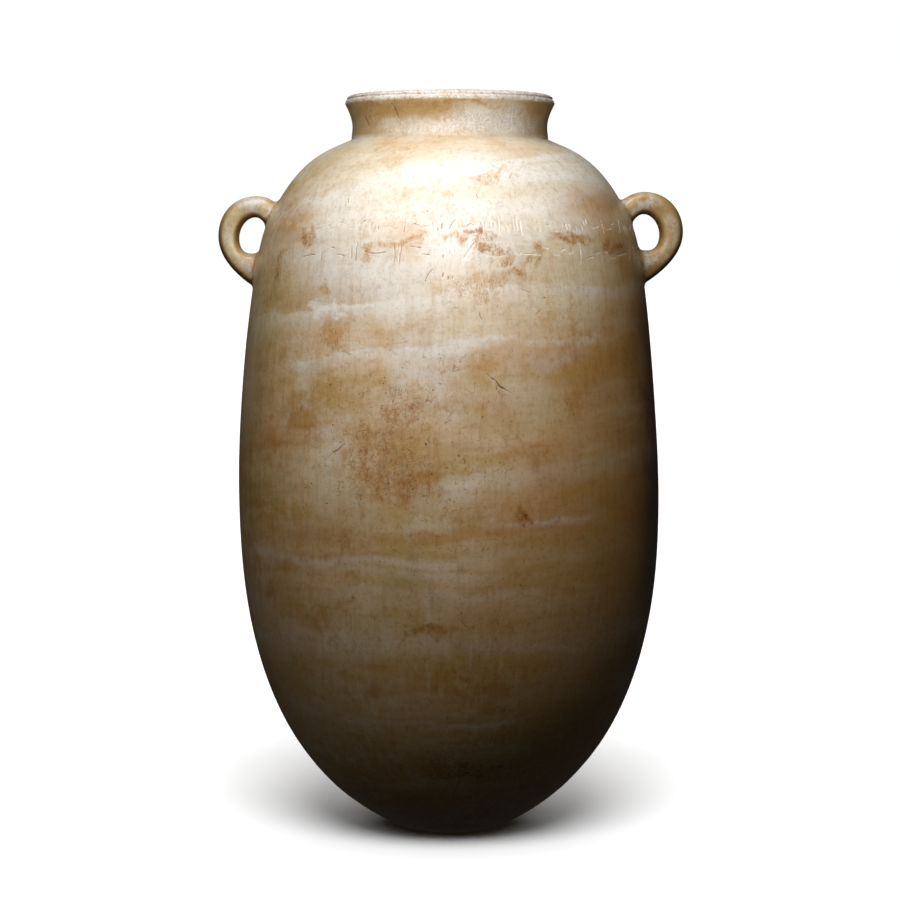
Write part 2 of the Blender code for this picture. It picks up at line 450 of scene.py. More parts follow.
@dataclass
class Inscription:
    """Rows of shallow cut strokes across the front, below the shoulder."""

    form: JarForm
    row_heights: tuple[float, ...] = (0.4925, 0.4725)
    row_sizes: tuple[float, ...] = (0.0130, 0.0165)
    lower_height: float = 0.4555
    lower_pair: tuple[tuple[StrokeKind, float], ...] = ((StrokeKind.SLANT, -5.4), (StrokeKind.NICKS, -0.2))
    first_azimuth: float = -74.0
    last_azimuth: float = 77.0
    half_width: float = 0.00050
    depth: float = 0.00050
    depth_spread: Span = (0.55, 1.2)
    width_spread: Span = (0.75, 1.15)
    least_tone: float = 0.1
    like_gap: Span = (0.14, 0.24)
    unlike_gap: Span = (0.32, 0.42)
    nick_places: tuple[float, ...] = (-0.28, 0.02, 0.25)
    bow_steps: int = 5
    wave_steps: int = 8
    wave_height: float = 0.10
    seed: int = 23

    def bowed(self, length: float, lean: float, bend: float, middle: Place = (0.0, 0.0)) -> list[Place]:
        """Lay one gently bowed line.

        Args:
            length: How long the line is.
            lean: The angle that it makes with the level.
            bend: How far its middle stands off, as a share of its length.
            middle: Where its middle is.

        Returns:
            The places along the line, as (along, up).
        """
        turn = math.radians(lean)
        line = []
        for step in range(self.bow_steps + 1):
            share = step / self.bow_steps - 0.5
            off = bend * length * (0.5 - 2.0 * share * share)
            line.append((middle[0] + length * share * math.cos(turn) - off * math.sin(turn),
                         middle[1] + length * share * math.sin(turn) + off * math.cos(turn)))
        return line

    def stroke(self, kind: StrokeKind, size: float, dice: random.Random) -> list[list[Place]]:
        """Draw one kind of stroke about (0, 0).

        Args:
            kind: Which plain stroke to draw.
            size: The height of the row.
            dice: The source of the small differences between strokes.

        Returns:
            The lines of the stroke, each a row of (along, up) places.
        """
        length = size * dice.uniform(0.60, 1.00)
        bend = dice.uniform(-0.18, 0.18)
        way = dice.choice((-1.0, 1.0))
        if kind is StrokeKind.UPRIGHT:
            return [self.bowed(length, 90.0 + dice.uniform(-5.0, 7.0), bend)]
        if kind is StrokeKind.LEVEL:
            return [self.bowed(1.1 * length, dice.uniform(-9.0, 9.0), bend)]
        if kind is StrokeKind.SLANT:
            return [self.bowed(0.9 * length, dice.uniform(48.0, 68.0), 1.4 * bend)]
        if kind is StrokeKind.UPRIGHTS:
            gap = size * dice.uniform(0.10, 0.16)
            return [self.bowed(length * dice.uniform(0.55, 1.0), 90.0 + dice.uniform(-4.0, 6.0), 0.5 * bend,
                               (side * gap, size * dice.uniform(-0.12, 0.12))) for side in (-1.0, 1.0)]
        if kind is StrokeKind.LEVELS:
            return [self.bowed(length * dice.uniform(0.35, 0.6), way * dice.uniform(4.0, 12.0), 0.6 * bend,
                               (side * way * size * dice.uniform(0.22, 0.34),
                                side * size * dice.uniform(0.10, 0.20))) for side in (-1.0, 1.0)]
        if kind is StrokeKind.NICKS:
            return [self.bowed(size * dice.uniform(0.14, 0.30), 90.0 + dice.uniform(-4.0, 8.0), 0.0,
                               (place * size, size * dice.uniform(-0.25, 0.30)))
                    for place in self.nick_places]
        steps = [length * (step / self.wave_steps - 0.5) for step in range(self.wave_steps + 1)]
        rise = self.wave_height * size * way
        return [[(along, rise * math.sin(math.tau * along / length)) for along in steps]]

    def gap(self, last: StrokeKind, kind: StrokeKind, dice: random.Random) -> float:
        """Space two neighbouring strokes, so that they don't run together into one sign.

        Args:
            last: The kind of the stroke before.
            kind: The kind of the next one.
            dice: The source of the small differences between gaps.

        Returns:
            The gap, as a share of the height of the row.
        """
        return dice.uniform(*(self.like_gap if last.way == kind.way else self.unlike_gap))

    def grooves(self) -> list[Groove]:
        """Cut every row of strokes.

        Returns:
            The grooves of all rows, and of a short pair of strokes below them.
        """
        dice = random.Random(self.seed)
        weights = [kind.weight for kind in StrokeKind]
        cuts: list[Groove] = []
        for height, size in zip(self.row_heights, self.row_sizes):
            radius = float(self.form.outer_radius(np.array([height]))[0])
            azimuth = self.first_azimuth
            last = StrokeKind.NICKS
            while azimuth < self.last_azimuth:
                kind = dice.choices(list(StrokeKind), weights=weights)[0]
                lines = self.stroke(kind, size, dice)
                reach = max(abs(along) for line in lines for along, _ in line)
                azimuth += math.degrees((reach + size * self.gap(last, kind, dice)) / radius)
                rise = dice.uniform(-0.15, 0.15) * size
                cuts += self.cut(lines, azimuth, height + rise, radius, dice)
                azimuth += math.degrees(reach / radius)
                last = kind
        for kind, azimuth in self.lower_pair:
            lines = self.stroke(kind, self.row_sizes[0], dice)
            cuts += self.cut(lines, azimuth, self.lower_height, self.form.shoulder[0], dice)
        return cuts

    def cut(self, lines: list[list[Place]], azimuth: float, height: float, radius: float,
            dice: random.Random) -> list[Groove]:
        """Lay the lines of one stroke on the wall.

        Args:
            lines: The lines, as (along, up) places about the stroke's middle.
            azimuth: The middle's azimuth.
            height: The middle's height.
            radius: The radius of the wall there.
            dice: The source of the small differences between grooves.

        Returns:
            One groove for each straight piece of the lines.
        """
        worn = dice.uniform(*self.depth_spread)
        depth = self.depth * worn
        width = self.half_width * dice.uniform(*self.width_spread)
        tone = min(1.0, worn + self.least_tone)
        cuts = []
        for line in lines:
            spots = [self.form.on_wall(azimuth + math.degrees(along / radius), height + up)
                     for along, up in line]
            cuts += [Groove(a, b, width, depth, Ink.CUT, tone) for a, b in zip(spots, spots[1:])]
        return cuts


class Scratch(NamedTuple):
    """A scratch that shows from a step away: its half width and its corners, as (azimuth, height)."""

    half_width: float
    corners: tuple[Place, ...]


SCRATCHES = (
    Scratch(0.00080, ((-33.6, 0.5908), (-31.9, 0.5862), (-31.2, 0.5822), (-29.8, 0.5776))),
    Scratch(0.00045, ((-61.0, 0.5905), (-59.6, 0.5856), (-57.4, 0.5812))),
    Scratch(0.00080, ((-57.4, 0.5812), (-55.8, 0.5768), (-53.4, 0.5732))),
    Scratch(0.00070, ((9.7, 0.3835), (11.0, 0.3794), (12.7, 0.3759),
                      (13.4, 0.3722), (14.5, 0.3704), (17.0, 0.3664))),
    Scratch(0.00090, ((13.3, 0.3726), (14.7, 0.3700))),
    Scratch(0.00052, ((12.7, 0.3730), (12.6, 0.3693), (13.6, 0.3661))),
    Scratch(0.00046, ((17.0, 0.3664), (17.9, 0.3712))),
    Scratch(0.00058, ((-32.2, 0.3176), (-30.9, 0.3212), (-29.6, 0.3226), (-28.2, 0.3264), (-26.4, 0.3288))),
    Scratch(0.00032, ((-32.2, 0.3176), (-31.2, 0.3150), (-30.6, 0.3122))),
    Scratch(0.00032, ((-28.2, 0.3262), (-29.0, 0.3290), (-27.6, 0.3306))),
    Scratch(0.00030, ((-35.0, 0.3170), (-33.2, 0.3174))),
    Scratch(0.00030, ((-28.9, 0.3345), (-27.9, 0.3378), (-25.6, 0.3384))),
    Scratch(0.00030, ((-24.4, 0.3372), (-22.0, 0.3384), (-20.6, 0.3364))),
    Scratch(0.00034, ((-9.4, 0.3192), (-6.0, 0.3186), (-5.6, 0.3222))),
    Scratch(0.00032, ((-10.2, 0.3050), (-9.6, 0.2986), (-9.9, 0.2920))),
    Scratch(0.00030, ((-1.6, 0.3073), (-1.9, 0.2990), (-1.5, 0.2907))),
    Scratch(0.00030, ((4.0, 0.3340), (7.6, 0.3312), (10.2, 0.3322))),
    Scratch(0.00030, ((9.2, 0.3270), (11.0, 0.3225), (11.6, 0.3190))),
    Scratch(0.00030, ((14.6, 0.3330), (17.0, 0.3318), (18.6, 0.3345))),
    Scratch(0.00030, ((-8.6, 0.3560), (-6.2, 0.3530), (-4.8, 0.3545))),
    Scratch(0.00030, ((-44.0, 0.3560), (-43.2, 0.3470), (-42.0, 0.3400))),
    Scratch(0.00030, ((-40.2, 0.3440), (-38.6, 0.3400), (-36.8, 0.3418))),
    Scratch(0.00036, ((8.0, 0.5290), (12.5, 0.5325), (16.0, 0.5345))),
    Scratch(0.00030, ((27.0, 0.5290), (30.0, 0.5230))),
    Scratch(0.00040, ((35.0, 0.5270), (38.0, 0.5190), (39.0, 0.5150))),
    Scratch(0.00030, ((-66.0, 0.5010), (-62.0, 0.5040), (-60.0, 0.5090))),
    Scratch(0.00045, ((150.0, 0.4100), (153.0, 0.3960), (158.0, 0.3780))),
    Scratch(0.00036, ((-128.0, 0.2500), (-124.0, 0.2410), (-120.0, 0.2360))),
    Scratch(0.00036, ((104.0, 0.1900), (109.0, 0.2000), (112.0, 0.2060))),
)


@dataclass
class Wear:
    """The scratches, nicks, pits and chips that the stone picked up in use and in the ground.

    Half of the pits gather on the front of the belly, about a middle with a spread.
    """

    form: JarForm
    scratch_step: float = 0.0016
    scratch_sway: float = 0.16
    scratch_swell: float = 0.4
    scratch_depth: float = 0.8
    scratch_widths: Span = (0.70, 1.15)
    scratch_tones: Span = (0.60, 1.0)
    nick_count: int = 60
    nick_bands: tuple[Span, ...] = ((0.506, 0.552), (0.425, 0.450))
    nick_middle: float = 4.0
    nick_spread: float = 34.0
    nick_length: Span = (0.002, 0.009)
    nick_half_width: Span = (0.00022, 0.00036)
    nick_sway: float = 0.0005
    nick_leans: tuple[float, ...] = (60.0, 90.0, 100.0, 150.0)
    nick_flatness: float = 0.6
    nick_tones: Span = (0.55, 1.0)
    pit_count: int = 130
    pit_band: Span = (0.09, 0.56)
    front_azimuth: float = -16.0
    front_azimuth_spread: float = 20.0
    front_height: float = 0.325
    front_height_spread: float = 0.040
    pit_drift: float = 2.0
    pit_radius: Span = (0.00030, 0.00065)
    pit_depth: float = 0.6
    chip_count: int = 110
    chip_radius: Span = (0.0006, 0.0014)
    chip_depth: float = 0.30
    chip_lengths: Span = (0.5, 1.8)
    front_nick: float = -11.0
    front_nick_along: Triple = (0.0030, -0.0004, 0.0)
    front_nick_half_width: float = 0.0026
    front_nick_depth: float = 0.0008
    seed: int = 5

    def scratches(self) -> list[Groove]:
        """Draw the scratches as crooked lines of straight pieces.

        Returns:
            The pieces of every scratch, thinner towards its ends.
        """
        dice = random.Random(self.seed + 3)
        grooves = []
        for half_width, corners in SCRATCHES:
            spots = self.roughened(corners, dice)
            count = len(spots) - 1
            for number, (start, end) in enumerate(zip(spots, spots[1:])):
                swell = math.sin(math.pi * (number + 0.5) / count) ** self.scratch_swell
                size = half_width * (swell * dice.uniform(*self.scratch_widths))
                grooves.append(Groove(start, end, size, self.scratch_depth * size, Ink.SCRATCH,
                                      dice.uniform(*self.scratch_tones)))
        return grooves

    def roughened(self, corners: Sequence[Place], dice: random.Random) -> list[Vector]:
        """Break a line up into short crooked steps.

        Args:
            corners: The line's corners, as (azimuth, height).
            dice: The source of the crookedness.

        Returns:
            The places along the line on the outside of the stone.
        """
        spots = [self.form.on_wall(*corners[0])]
        for corner in corners[1:]:
            start, end = spots[-1], self.form.on_wall(*corner)
            steps = max(1, round((end - start).length / self.scratch_step))
            for step in range(1, steps + 1):
                sway = [dice.uniform(-self.scratch_sway, self.scratch_sway) * self.scratch_step
                        for _ in range(3)]
                spots.append(start.lerp(end, step / steps) + Vector(sway))
        return spots

    def nicks(self) -> list[Groove]:
        """Draw short fine scratches across the shoulder and below the cut rows.

        Returns:
            The pieces of every scratch.
        """
        dice = random.Random(self.seed + 2)
        nicks = []
        for _ in range(self.nick_count):
            azimuth = dice.gauss(self.nick_middle, self.nick_spread)
            height = dice.choice([dice.uniform(*band) for band in self.nick_bands])
            length = dice.uniform(*self.nick_length)
            lean = math.radians(dice.choice(self.nick_leans))
            spots = []
            for share in (-0.5, 0.0, 0.5):
                along = length * share * math.cos(lean) + dice.uniform(-self.nick_sway, self.nick_sway)
                spots.append(self.form.on_wall(azimuth + math.degrees(along / self.form.shoulder[0]),
                                               height + self.nick_flatness * length * share * math.sin(lean)))
            size = dice.uniform(*self.nick_half_width)
            tone = dice.uniform(*self.nick_tones)
            nicks += [Groove(a, b, size, self.scratch_depth * size, Ink.SCRATCH, tone)
                      for a, b in zip(spots, spots[1:])]
        return nicks

    def pits(self) -> list[Groove]:
        """Make small pits all over the outside, more of them on the front of the belly.

        Returns:
            The pits, as short grooves.
        """
        dice = random.Random(self.seed)
        pits = []
        for number in range(self.pit_count):
            if number % 2:
                azimuth, height = dice.uniform(-180.0, 180.0), dice.uniform(*self.pit_band)
            else:
                azimuth = dice.gauss(self.front_azimuth, self.front_azimuth_spread)
                height = dice.gauss(self.front_height, self.front_height_spread)
            size = dice.uniform(*self.pit_radius)
            spot = self.form.on_wall(azimuth, height)
            drift = Vector([dice.uniform(-self.pit_drift, self.pit_drift) * size for _ in range(3)])
            pits.append(Groove(spot, spot + drift, size, self.pit_depth * size, Ink.SCRATCH))
        return pits

    def chips(self) -> list[Groove]:
        """Make small bruises along the edges of the rim, and one broader nick at the front.

        Returns:
            The bruises, as short grooves.
        """
        dice = random.Random(self.seed + 1)
        top, lip = self.form.rim_top_radius, self.form.lip
        edges = ((top + 0.0012, self.form.height - 0.0003), (lip[0] - 0.0002, lip[1] + 0.0015),
                 (self.form.mouth_radius, self.form.height - 0.0003))
        chips = []
        for number in range(self.chip_count):
            azimuth = math.radians(dice.uniform(-180.0, 180.0))
            size = dice.uniform(*self.chip_radius)
            radius, height = edges[number % len(edges)]
            spot = Vector((radius * math.sin(azimuth), -radius * math.cos(azimuth), height))
            along = Vector((math.cos(azimuth), math.sin(azimuth), 0.0))
            along = along * dice.uniform(*self.chip_lengths) * size
            chips.append(Groove(spot - along, spot + along, size, self.chip_depth * size, Ink.CHIP))
        azimuth, radius = math.radians(self.front_nick), top + 0.001
        spot = Vector((radius * math.sin(azimuth), -radius * math.cos(azimuth), self.form.height))
        along = Vector(self.front_nick_along)
        chips.append(Groove(spot - along, spot + along, self.front_nick_half_width,
                            self.front_nick_depth, Ink.CHIP))
        return chips


@dataclass
class Carver:
    """Tells where grooves are in a fine mesh, and how deep; reach is in half widths of a groove."""

    grooves: list[Groove]
    reach: float = 2.4
    profile: float = 1.5

    @staticmethod
    def around(groove: Groove, places: np.ndarray, span: float) -> tuple[np.ndarray, np.ndarray]:
        """Find the places in a box around a groove.

        Args:
            groove: The groove.
            places: Places, one row each.
            span: How far the box stands off the groove's middle line.

        Returns:
            The rows that are in the box, and how far each is from the middle line.
        """
        start, end = np.array(groove.start), np.array(groove.end)
        low, high = np.minimum(start, end) - span, np.maximum(start, end) + span
        rows = np.flatnonzero(np.all((places >= low) & (places <= high), axis=1))
        way = end - start
        share = np.clip((places[rows] - start) @ way / max(way @ way, 1e-12), 0.0, 1.0)
        return rows, np.linalg.norm(places[rows] - start - share[:, None] * way, axis=1)

    def nearness(self, places: np.ndarray, inks: Iterable[Ink]) -> np.ndarray:
        """Measure how near some groove's middle line each place is.

        Args:
            places: Places, one row each.
            inks: The kinds of mark to look at.

        Returns:
            For each place, from 0 at a groove's reach or beyond to 1 on its middle line.
        """
        near = np.zeros(len(places))
        for groove in self.grooves:
            if groove.ink in inks:
                span = self.reach * groove.half_width
                rows, gap = self.around(groove, places, span)
                near[rows] = np.maximum(near[rows], groove.tone * (1.0 - np.minimum(gap / span, 1.0)))
        return near

    def depths(self, places: np.ndarray) -> np.ndarray:
        """Measure the deepest groove at each place.

        Args:
            places: Places, one row each.

        Returns:
            The depths.
        """
        depth = np.zeros(len(places))
        for groove in self.grooves:
            rows, gap = self.around(groove, places, groove.half_width)
            profile = np.clip(1.0 - (gap / groove.half_width) ** 2, 0.0, 1.0) ** self.profile
            depth[rows] = np.maximum(depth[rows], groove.depth * profile)
        return depth

    def close(self, places: np.ndarray, margin: float) -> np.ndarray:
        """Find the places that are near some groove.

        Args:
            places: Places, one row each.
            margin: How far from a groove's edge they may be.

        Returns:
            Whether each place is near one.
        """
        found = np.zeros(len(places), bool)
        for groove in self.grooves:
            span = margin + groove.half_width
            rows, gap = self.around(groove, places, span)
            found[rows[gap < span]] = True
        return found


# --------------------------------------------------------------------------- the jar


@dataclass
class Alabastron:
    """The whole jar as one fine mesh."""

    form: JarForm = field(default_factory=JarForm)
    handles: tuple[LoopHandle, ...] = (
        LoopHandle(side=-1.0, lift=-0.0013, reach=0.1879, top=(0.1565, 0.5202)),
        LoopHandle(side=1.0, lift=0.0013, reach=0.1902, top=(0.1580, 0.5210)),
    )
    fillet_reach: tuple[float, ...] = (0.0075, 0.0060, 0.0045, 0.0030)
    fillet_rounds: int = 5
    fillet_edge: float = 0.0022
    refine_margins: tuple[float, ...] = (0.0030, 0.0016, 0.0007)
    finest_edge: float = 0.00085
    sharp_angle: float = 52.0
    handle_span: Span = (0.43, 0.53)
    handle_rise: float = 0.0008
    # How the painted shade on the handles grows as their faces turn sideways and down.
    flank_edge: float = 0.985
    flank_fade: float = 0.34
    flank_level: float = 0.75
    flank_slope: float = 0.60
    flank_least: float = 0.20
    hollow_depth: float = 0.004
    rounding_gap: float = 0.0004
    rounding_foot: float = 0.02
    bow: float = -0.0015
    bow_height: float = 0.365
    bow_spread: float = 0.130
    swell: float = 0.00030
    swell_scale: float = 13.0
    swell_span: Span = (0.01, 0.56)
    rim_wear: float = 0.00070
    rim_wear_scale: float = 140.0
    rim_foot: float = 0.5905
    rim_fade: float = 0.002

    def build(self) -> bpy.types.Object:
        """Model the jar with its handles and carve it.

        Returns:
            The finished piece, without a material.
        """
        jar = self.joined()
        shape = bmesh.new()
        shape.from_mesh(jar.data)
        self.soften_roots(shape)
        wear = Wear(self.form)
        carver = Carver(Inscription(self.form).grooves() + wear.scratches() + wear.nicks() + wear.pits()
                        + wear.chips())
        self.refine(shape, carver)
        shape.to_mesh(jar.data)
        shape.free()
        self.carve(jar.data, carver)
        jar.data.shade_smooth()
        jar.data.set_sharp_from_angle(angle=math.radians(self.sharp_angle))
        return jar

    def joined(self) -> bpy.types.Object:
        """Join the turned wall and both handles into one closed mesh.

        Returns:
            The joined jar; its handles' faces have material index 1.
        """
        jar = self.form.turned()
        jar.name = "alabastron_jar"
        for slot in ("wall", "bar"):
            jar.data.materials.append(bpy.data.materials.new(slot))
        bars = [handle.swept() for handle in self.handles]
        for bar in bars:
            for slot in jar.data.materials:
                bar.data.materials.append(slot)
            bar.data.polygons.foreach_set("material_index", [1] * len(bar.data.polygons))
            join = jar.modifiers.new("join", "BOOLEAN")
            join.operation = "UNION"
            join.solver = "EXACT"
            join.object = bar
        bpy.context.view_layer.update()
        ready = jar.evaluated_get(bpy.context.evaluated_depsgraph_get())
        mesh = bpy.data.meshes.new_from_object(ready)
        jar.modifiers.clear()
        jar.data = mesh
        for bar in bars:
            bpy.data.objects.remove(bar, do_unlink=True)
        return jar

    def soften_roots(self, shape: bmesh.types.BMesh) -> None:
        """Round the corners where the handles grow out of the wall.

        Args:
            shape: The joined jar, with the handles' faces under material index 1.
        """
        seam = {vert for edge in shape.edges if len(edge.link_faces) == 2
                and edge.link_faces[0].material_index != edge.link_faces[1].material_index
                for vert in edge.verts}
        tree = kdtree.KDTree(len(seam))
        for number, vert in enumerate(seam):
            tree.insert(vert.co, number)
        tree.balance()
        edges = [edge for edge in shape.edges if edge.calc_length() > self.fillet_edge
                 and all(tree.find(vert.co)[2] < self.fillet_reach[0] for vert in edge.verts)]
        bmesh.ops.subdivide_edges(shape, edges=edges, cuts=1, use_grid_fill=True)
        for reach in self.fillet_reach:
            near = [vert for vert in shape.verts if tree.find(vert.co)[2] < reach]
            for _ in range(self.fillet_rounds):
                bmesh.ops.smooth_vert(shape, verts=near, factor=0.5, use_axis_x=True, use_axis_y=True,
                                      use_axis_z=True)
        for face in shape.faces:
            face.material_index = 0

    def refine(self, shape: bmesh.types.BMesh, carver: Carver) -> None:
        """Split the mesh where grooves will be pressed in, finer and finer.

        Args:
            shape: The jar.
            carver: What will press the grooves in.
        """
        for margin in self.refine_margins:
            shape.verts.index_update()
            places = np.array([vert.co for vert in shape.verts])
            close = carver.close(places, margin)
            edges = [edge for edge in shape.edges if any(close[vert.index] for vert in edge.verts)
                     and edge.calc_length() > self.finest_edge]
            bmesh.ops.subdivide_edges(shape, edges=edges, cuts=1, use_grid_fill=True)
            LOG.info("refined within %.1f mm: %d faces", 1000.0 * margin, len(shape.faces))

    @staticmethod
    def rows(mesh: bpy.types.Mesh, what: str) -> np.ndarray:
        """Read one value of every point of a mesh.

        Args:
            mesh: The mesh.
            what: "co" for the places or "normal" for the normals.

        Returns:
            The values, one row to a point.
        """
        values = np.empty(3 * len(mesh.vertices))
        mesh.vertices.foreach_get(what, values)
        return values.reshape(-1, 3)

    @staticmethod
    def waves(places: np.ndarray, scale: float) -> np.ndarray:
        """Smooth noise about 0 at each place, with so many waves to a metre."""
        return np.array([noise.noise(Vector(place) * scale) for place in places])

    def carve(self, mesh: bpy.types.Mesh, carver: Carver) -> None:
        """Round the wall again, press the grooves in and warp the jar a little.

        Args:
            mesh: The jar's mesh.
            carver: What presses the grooves in.
        """
        places = self.rows(mesh, "co")
        radius = np.hypot(places[:, 0], places[:, 1])
        true_radius = self.form.outer_radius(places[:, 2])
        onto = (np.abs(radius - true_radius) < self.rounding_gap) & (places[:, 2] > self.rounding_foot)
        onto &= places[:, 2] < self.form.lip[1]
        places[onto, :2] *= (true_radius[onto] / radius[onto])[:, None]
        normals = self.rows(mesh, "normal")
        self.note_marks(mesh, carver, places, normals, radius - true_radius)
        places -= normals * carver.depths(places)[:, None]
        low, high = self.swell_span
        swell = self.waves(places, self.swell_scale) * (places[:, 2] > low) * (places[:, 2] < high)
        places += normals * (self.swell * swell)[:, None]
        worn = np.clip(self.waves(places, self.rim_wear_scale), 0.0, 1.0)
        worn *= np.clip((places[:, 2] - self.rim_foot) / self.rim_fade, 0.0, 1.0)
        places -= normals * (self.rim_wear * worn)[:, None]
        places[:, 0] += self.bow * np.exp(-(((places[:, 2] - self.bow_height) / self.bow_spread) ** 2))
        mesh.vertices.foreach_set("co", places.ravel())
        mesh.update()

    def note_marks(self, mesh: bpy.types.Mesh, carver: Carver, places: np.ndarray, normals: np.ndarray,
                   outward: np.ndarray) -> None:
        """Keep at each point what the material has to know there.

        Args:
            mesh: The jar's mesh.
            carver: What knows the grooves.
            places: The points' places, one row each.
            normals: The points' normals, one row each.
            outward: How far each point is outside the wall's outer face.
        """
        low, high = self.handle_span
        bar = (outward > self.handle_rise) & (places[:, 2] > low) & (places[:, 2] < high)
        # Where the handles' faces turn sideways and down, for the painted shade on them.
        shaded_flank = np.clip((self.flank_edge - np.abs(normals[:, 1])) / self.flank_fade, 0.0, 1.0)
        shaded_flank *= np.clip(self.flank_level - self.flank_slope * normals[:, 2], self.flank_least, 1.0)
        notes = {
            "cut": carver.nearness(places, (Ink.CUT,)),
            "wear": carver.nearness(places, (Ink.SCRATCH,)),
            "chip": carver.nearness(places, (Ink.CHIP,)),
            "inside": (outward < -self.hollow_depth) & (places[:, 2] < self.form.throat[1]),
            "bar": bar,
            "shaded_flank": shaded_flank * bar,
        }
        for name, values in notes.items():
            mesh.attributes.new(name, "FLOAT", "POINT").data.foreach_set("value", values.astype(float))


# --------------------------------------------------------------------------- the stone


class Tone(Enum):
    """The colours of the stone, of what wore and stained it, and of the shade painted on it."""

    OLIVE = (0.400, 0.290, 0.100)
    AMBER = (0.480, 0.250, 0.072)
    HONEY = (0.520, 0.335, 0.120)
    STRAW = (0.600, 0.470, 0.240)
    PEACH = (0.640, 0.445, 0.250)
    CREAM = (0.700, 0.610, 0.430)
    MILK = (0.800, 0.765, 0.700)
    PEARL = (0.700, 0.680, 0.670)
    FROST = (0.830, 0.825, 0.830)
    UMBER = (0.120, 0.050, 0.015)
    TEA = (0.830, 0.620, 0.380)
    BARK = (0.500, 0.290, 0.130)
    # Painted shade on the sides: a warm darkening, multiplied in towards the left and right edges.
    HELD = (0.960, 0.850, 0.600)
    RESIN = (0.440, 0.270, 0.086)
    TAN = (0.444, 0.268, 0.0846)
    CRUMB = (0.310, 0.170, 0.0725)
    CRACK = (0.246, 0.095, 0.02175)
    SOIL = (0.274, 0.105, 0.02325)
    SCORE = (0.204, 0.080, 0.0195)
    GRIT = (0.640, 0.520, 0.400)
    DUST = (0.920, 0.900, 0.870)
    CLEAN = (1.0, 1.0, 1.0)


Socket = bpy.types.NodeSocket
Value = Socket | float
Shade = Socket | Tone
Feed = Value | Shade | Sequence[float]


class Step(NamedTuple):
    """A smooth step from 0 at low to top at high; low may be above high."""

    low: float
    high: float
    top: float = 1.0


class Slope(NamedTuple):
    """A straight rise: how steep it is, and what it starts from at 0."""

    slope: float
    start: float


class Noise(NamedTuple):
    """Smooth noise: its waves to a metre, its finer layers and their strength, and its stretch."""

    scale: float
    detail: float = 3.0
    rough: float = 0.55
    stretch: Triple = (1.0, 1.0, 1.0)


class Mottle(NamedTuple):
    """Ragged patches, which are a step on a noise."""

    noise: Noise
    step: Step


class Patch(NamedTuple):
    """One soft-edged patch: its middle, its radii, and how much of them is its core."""

    centre: Triple
    radii: Triple
    core: float


class Push(NamedTuple):
    """How finely and how far a pattern is pushed about, so that it gets ragged edges."""

    scale: float
    amount: float


@dataclass
class NodeBench:
    """A node tree with short calls for the nodes that a material needs."""

    tree: bpy.types.NodeTree

    def put(self, kind: str, inputs: dict[int | str, Feed], **settings: object) -> bpy.types.NodeOutputs:
        """Put a node in the tree.

        Args:
            kind: The node's type.
            inputs: What feeds its inputs, by their numbers or names.
            **settings: Its settings, by name.

        Returns:
            Its outputs.
        """
        made = self.tree.nodes.new(kind)
        for name, setting in settings.items():
            setattr(made, name, setting)
        self.feed(made, inputs)
        return made.outputs

    def feed(self, node: bpy.types.Node, inputs: dict[int | str, Feed]) -> None:
        """Link a node's inputs to other sockets, or set their values.

        Args:
            node: The node.
            inputs: What feeds its inputs, by their numbers or names.
        """
        for name, value in inputs.items():
            if isinstance(value, Socket):
                self.tree.links.new(value, node.inputs[name])
            else:
                node.inputs[name].default_value = (*value.value, 1.0) if isinstance(value, Tone) else value

    def reckon(self, kind: str, *values: Value, clamp: bool = False) -> Socket:
        """The result of one step of arithmetic."""
        return self.put("ShaderNodeMath", dict(enumerate(values)), operation=kind, use_clamp=clamp)[0]

    def shift(self, kind: str, *vectors: Feed) -> Socket:
        """The result of one step of arithmetic on vectors."""
        return self.put("ShaderNodeVectorMath", dict(enumerate(vectors)), operation=kind)[0]

    def times(self, *values: Value) -> Value:
        """The product of some values."""
        return reduce(lambda one, other: self.reckon("MULTIPLY", one, other), values)

    def most(self, *values: Value) -> Value:
        """The greatest of some values."""
        return reduce(lambda one, other: self.reckon("MAXIMUM", one, other), values)

    def line(self, value: Value, slope: Value, start: Value, clamp: bool = False) -> Socket:
        """A value times a slope, and a start added."""
        return self.reckon("MULTIPLY_ADD", value, slope, start, clamp=clamp)

    def from_least(self, value: Value, least: float) -> Socket:
        """A value between 0 and 1 squeezed between a least value and 1."""
        return self.line(value, 1.0 - least, least)

    def window(self, value: Value, step: Step) -> Socket:
        """Make a smooth step on a value.

        Args:
            value: The value.
            step: Where the step is and how high it goes.

        Returns:
            The step's value.
        """
        (low, start), (high, end) = sorted(((step.low, 0.0), (step.high, step.top)))
        inputs = {0: value, "From Min": low, "From Max": high, "To Min": start, "To Max": end}
        return self.put("ShaderNodeMapRange", inputs, interpolation_type="SMOOTHSTEP", clamp=True)[0]

    def ramp(self, value: Value, stops: Sequence[tuple[float, Tone]]) -> Socket:
        """Lay colours along a value.

        Args:
            value: The value.
            stops: The tones and the values that they stand at.

        Returns:
            The colour.
        """
        made = self.tree.nodes.new("ShaderNodeValToRGB")
        self.feed(made, {0: value})
        made.color_ramp.interpolation = "EASE"
        marks = made.color_ramp.elements
        while len(marks) < len(stops):
            marks.new(0.5)
        for mark, (position, tone) in zip(marks, stops):
            mark.position = position
            mark.color = (*tone.value, 1.0)
        return made.outputs[0]


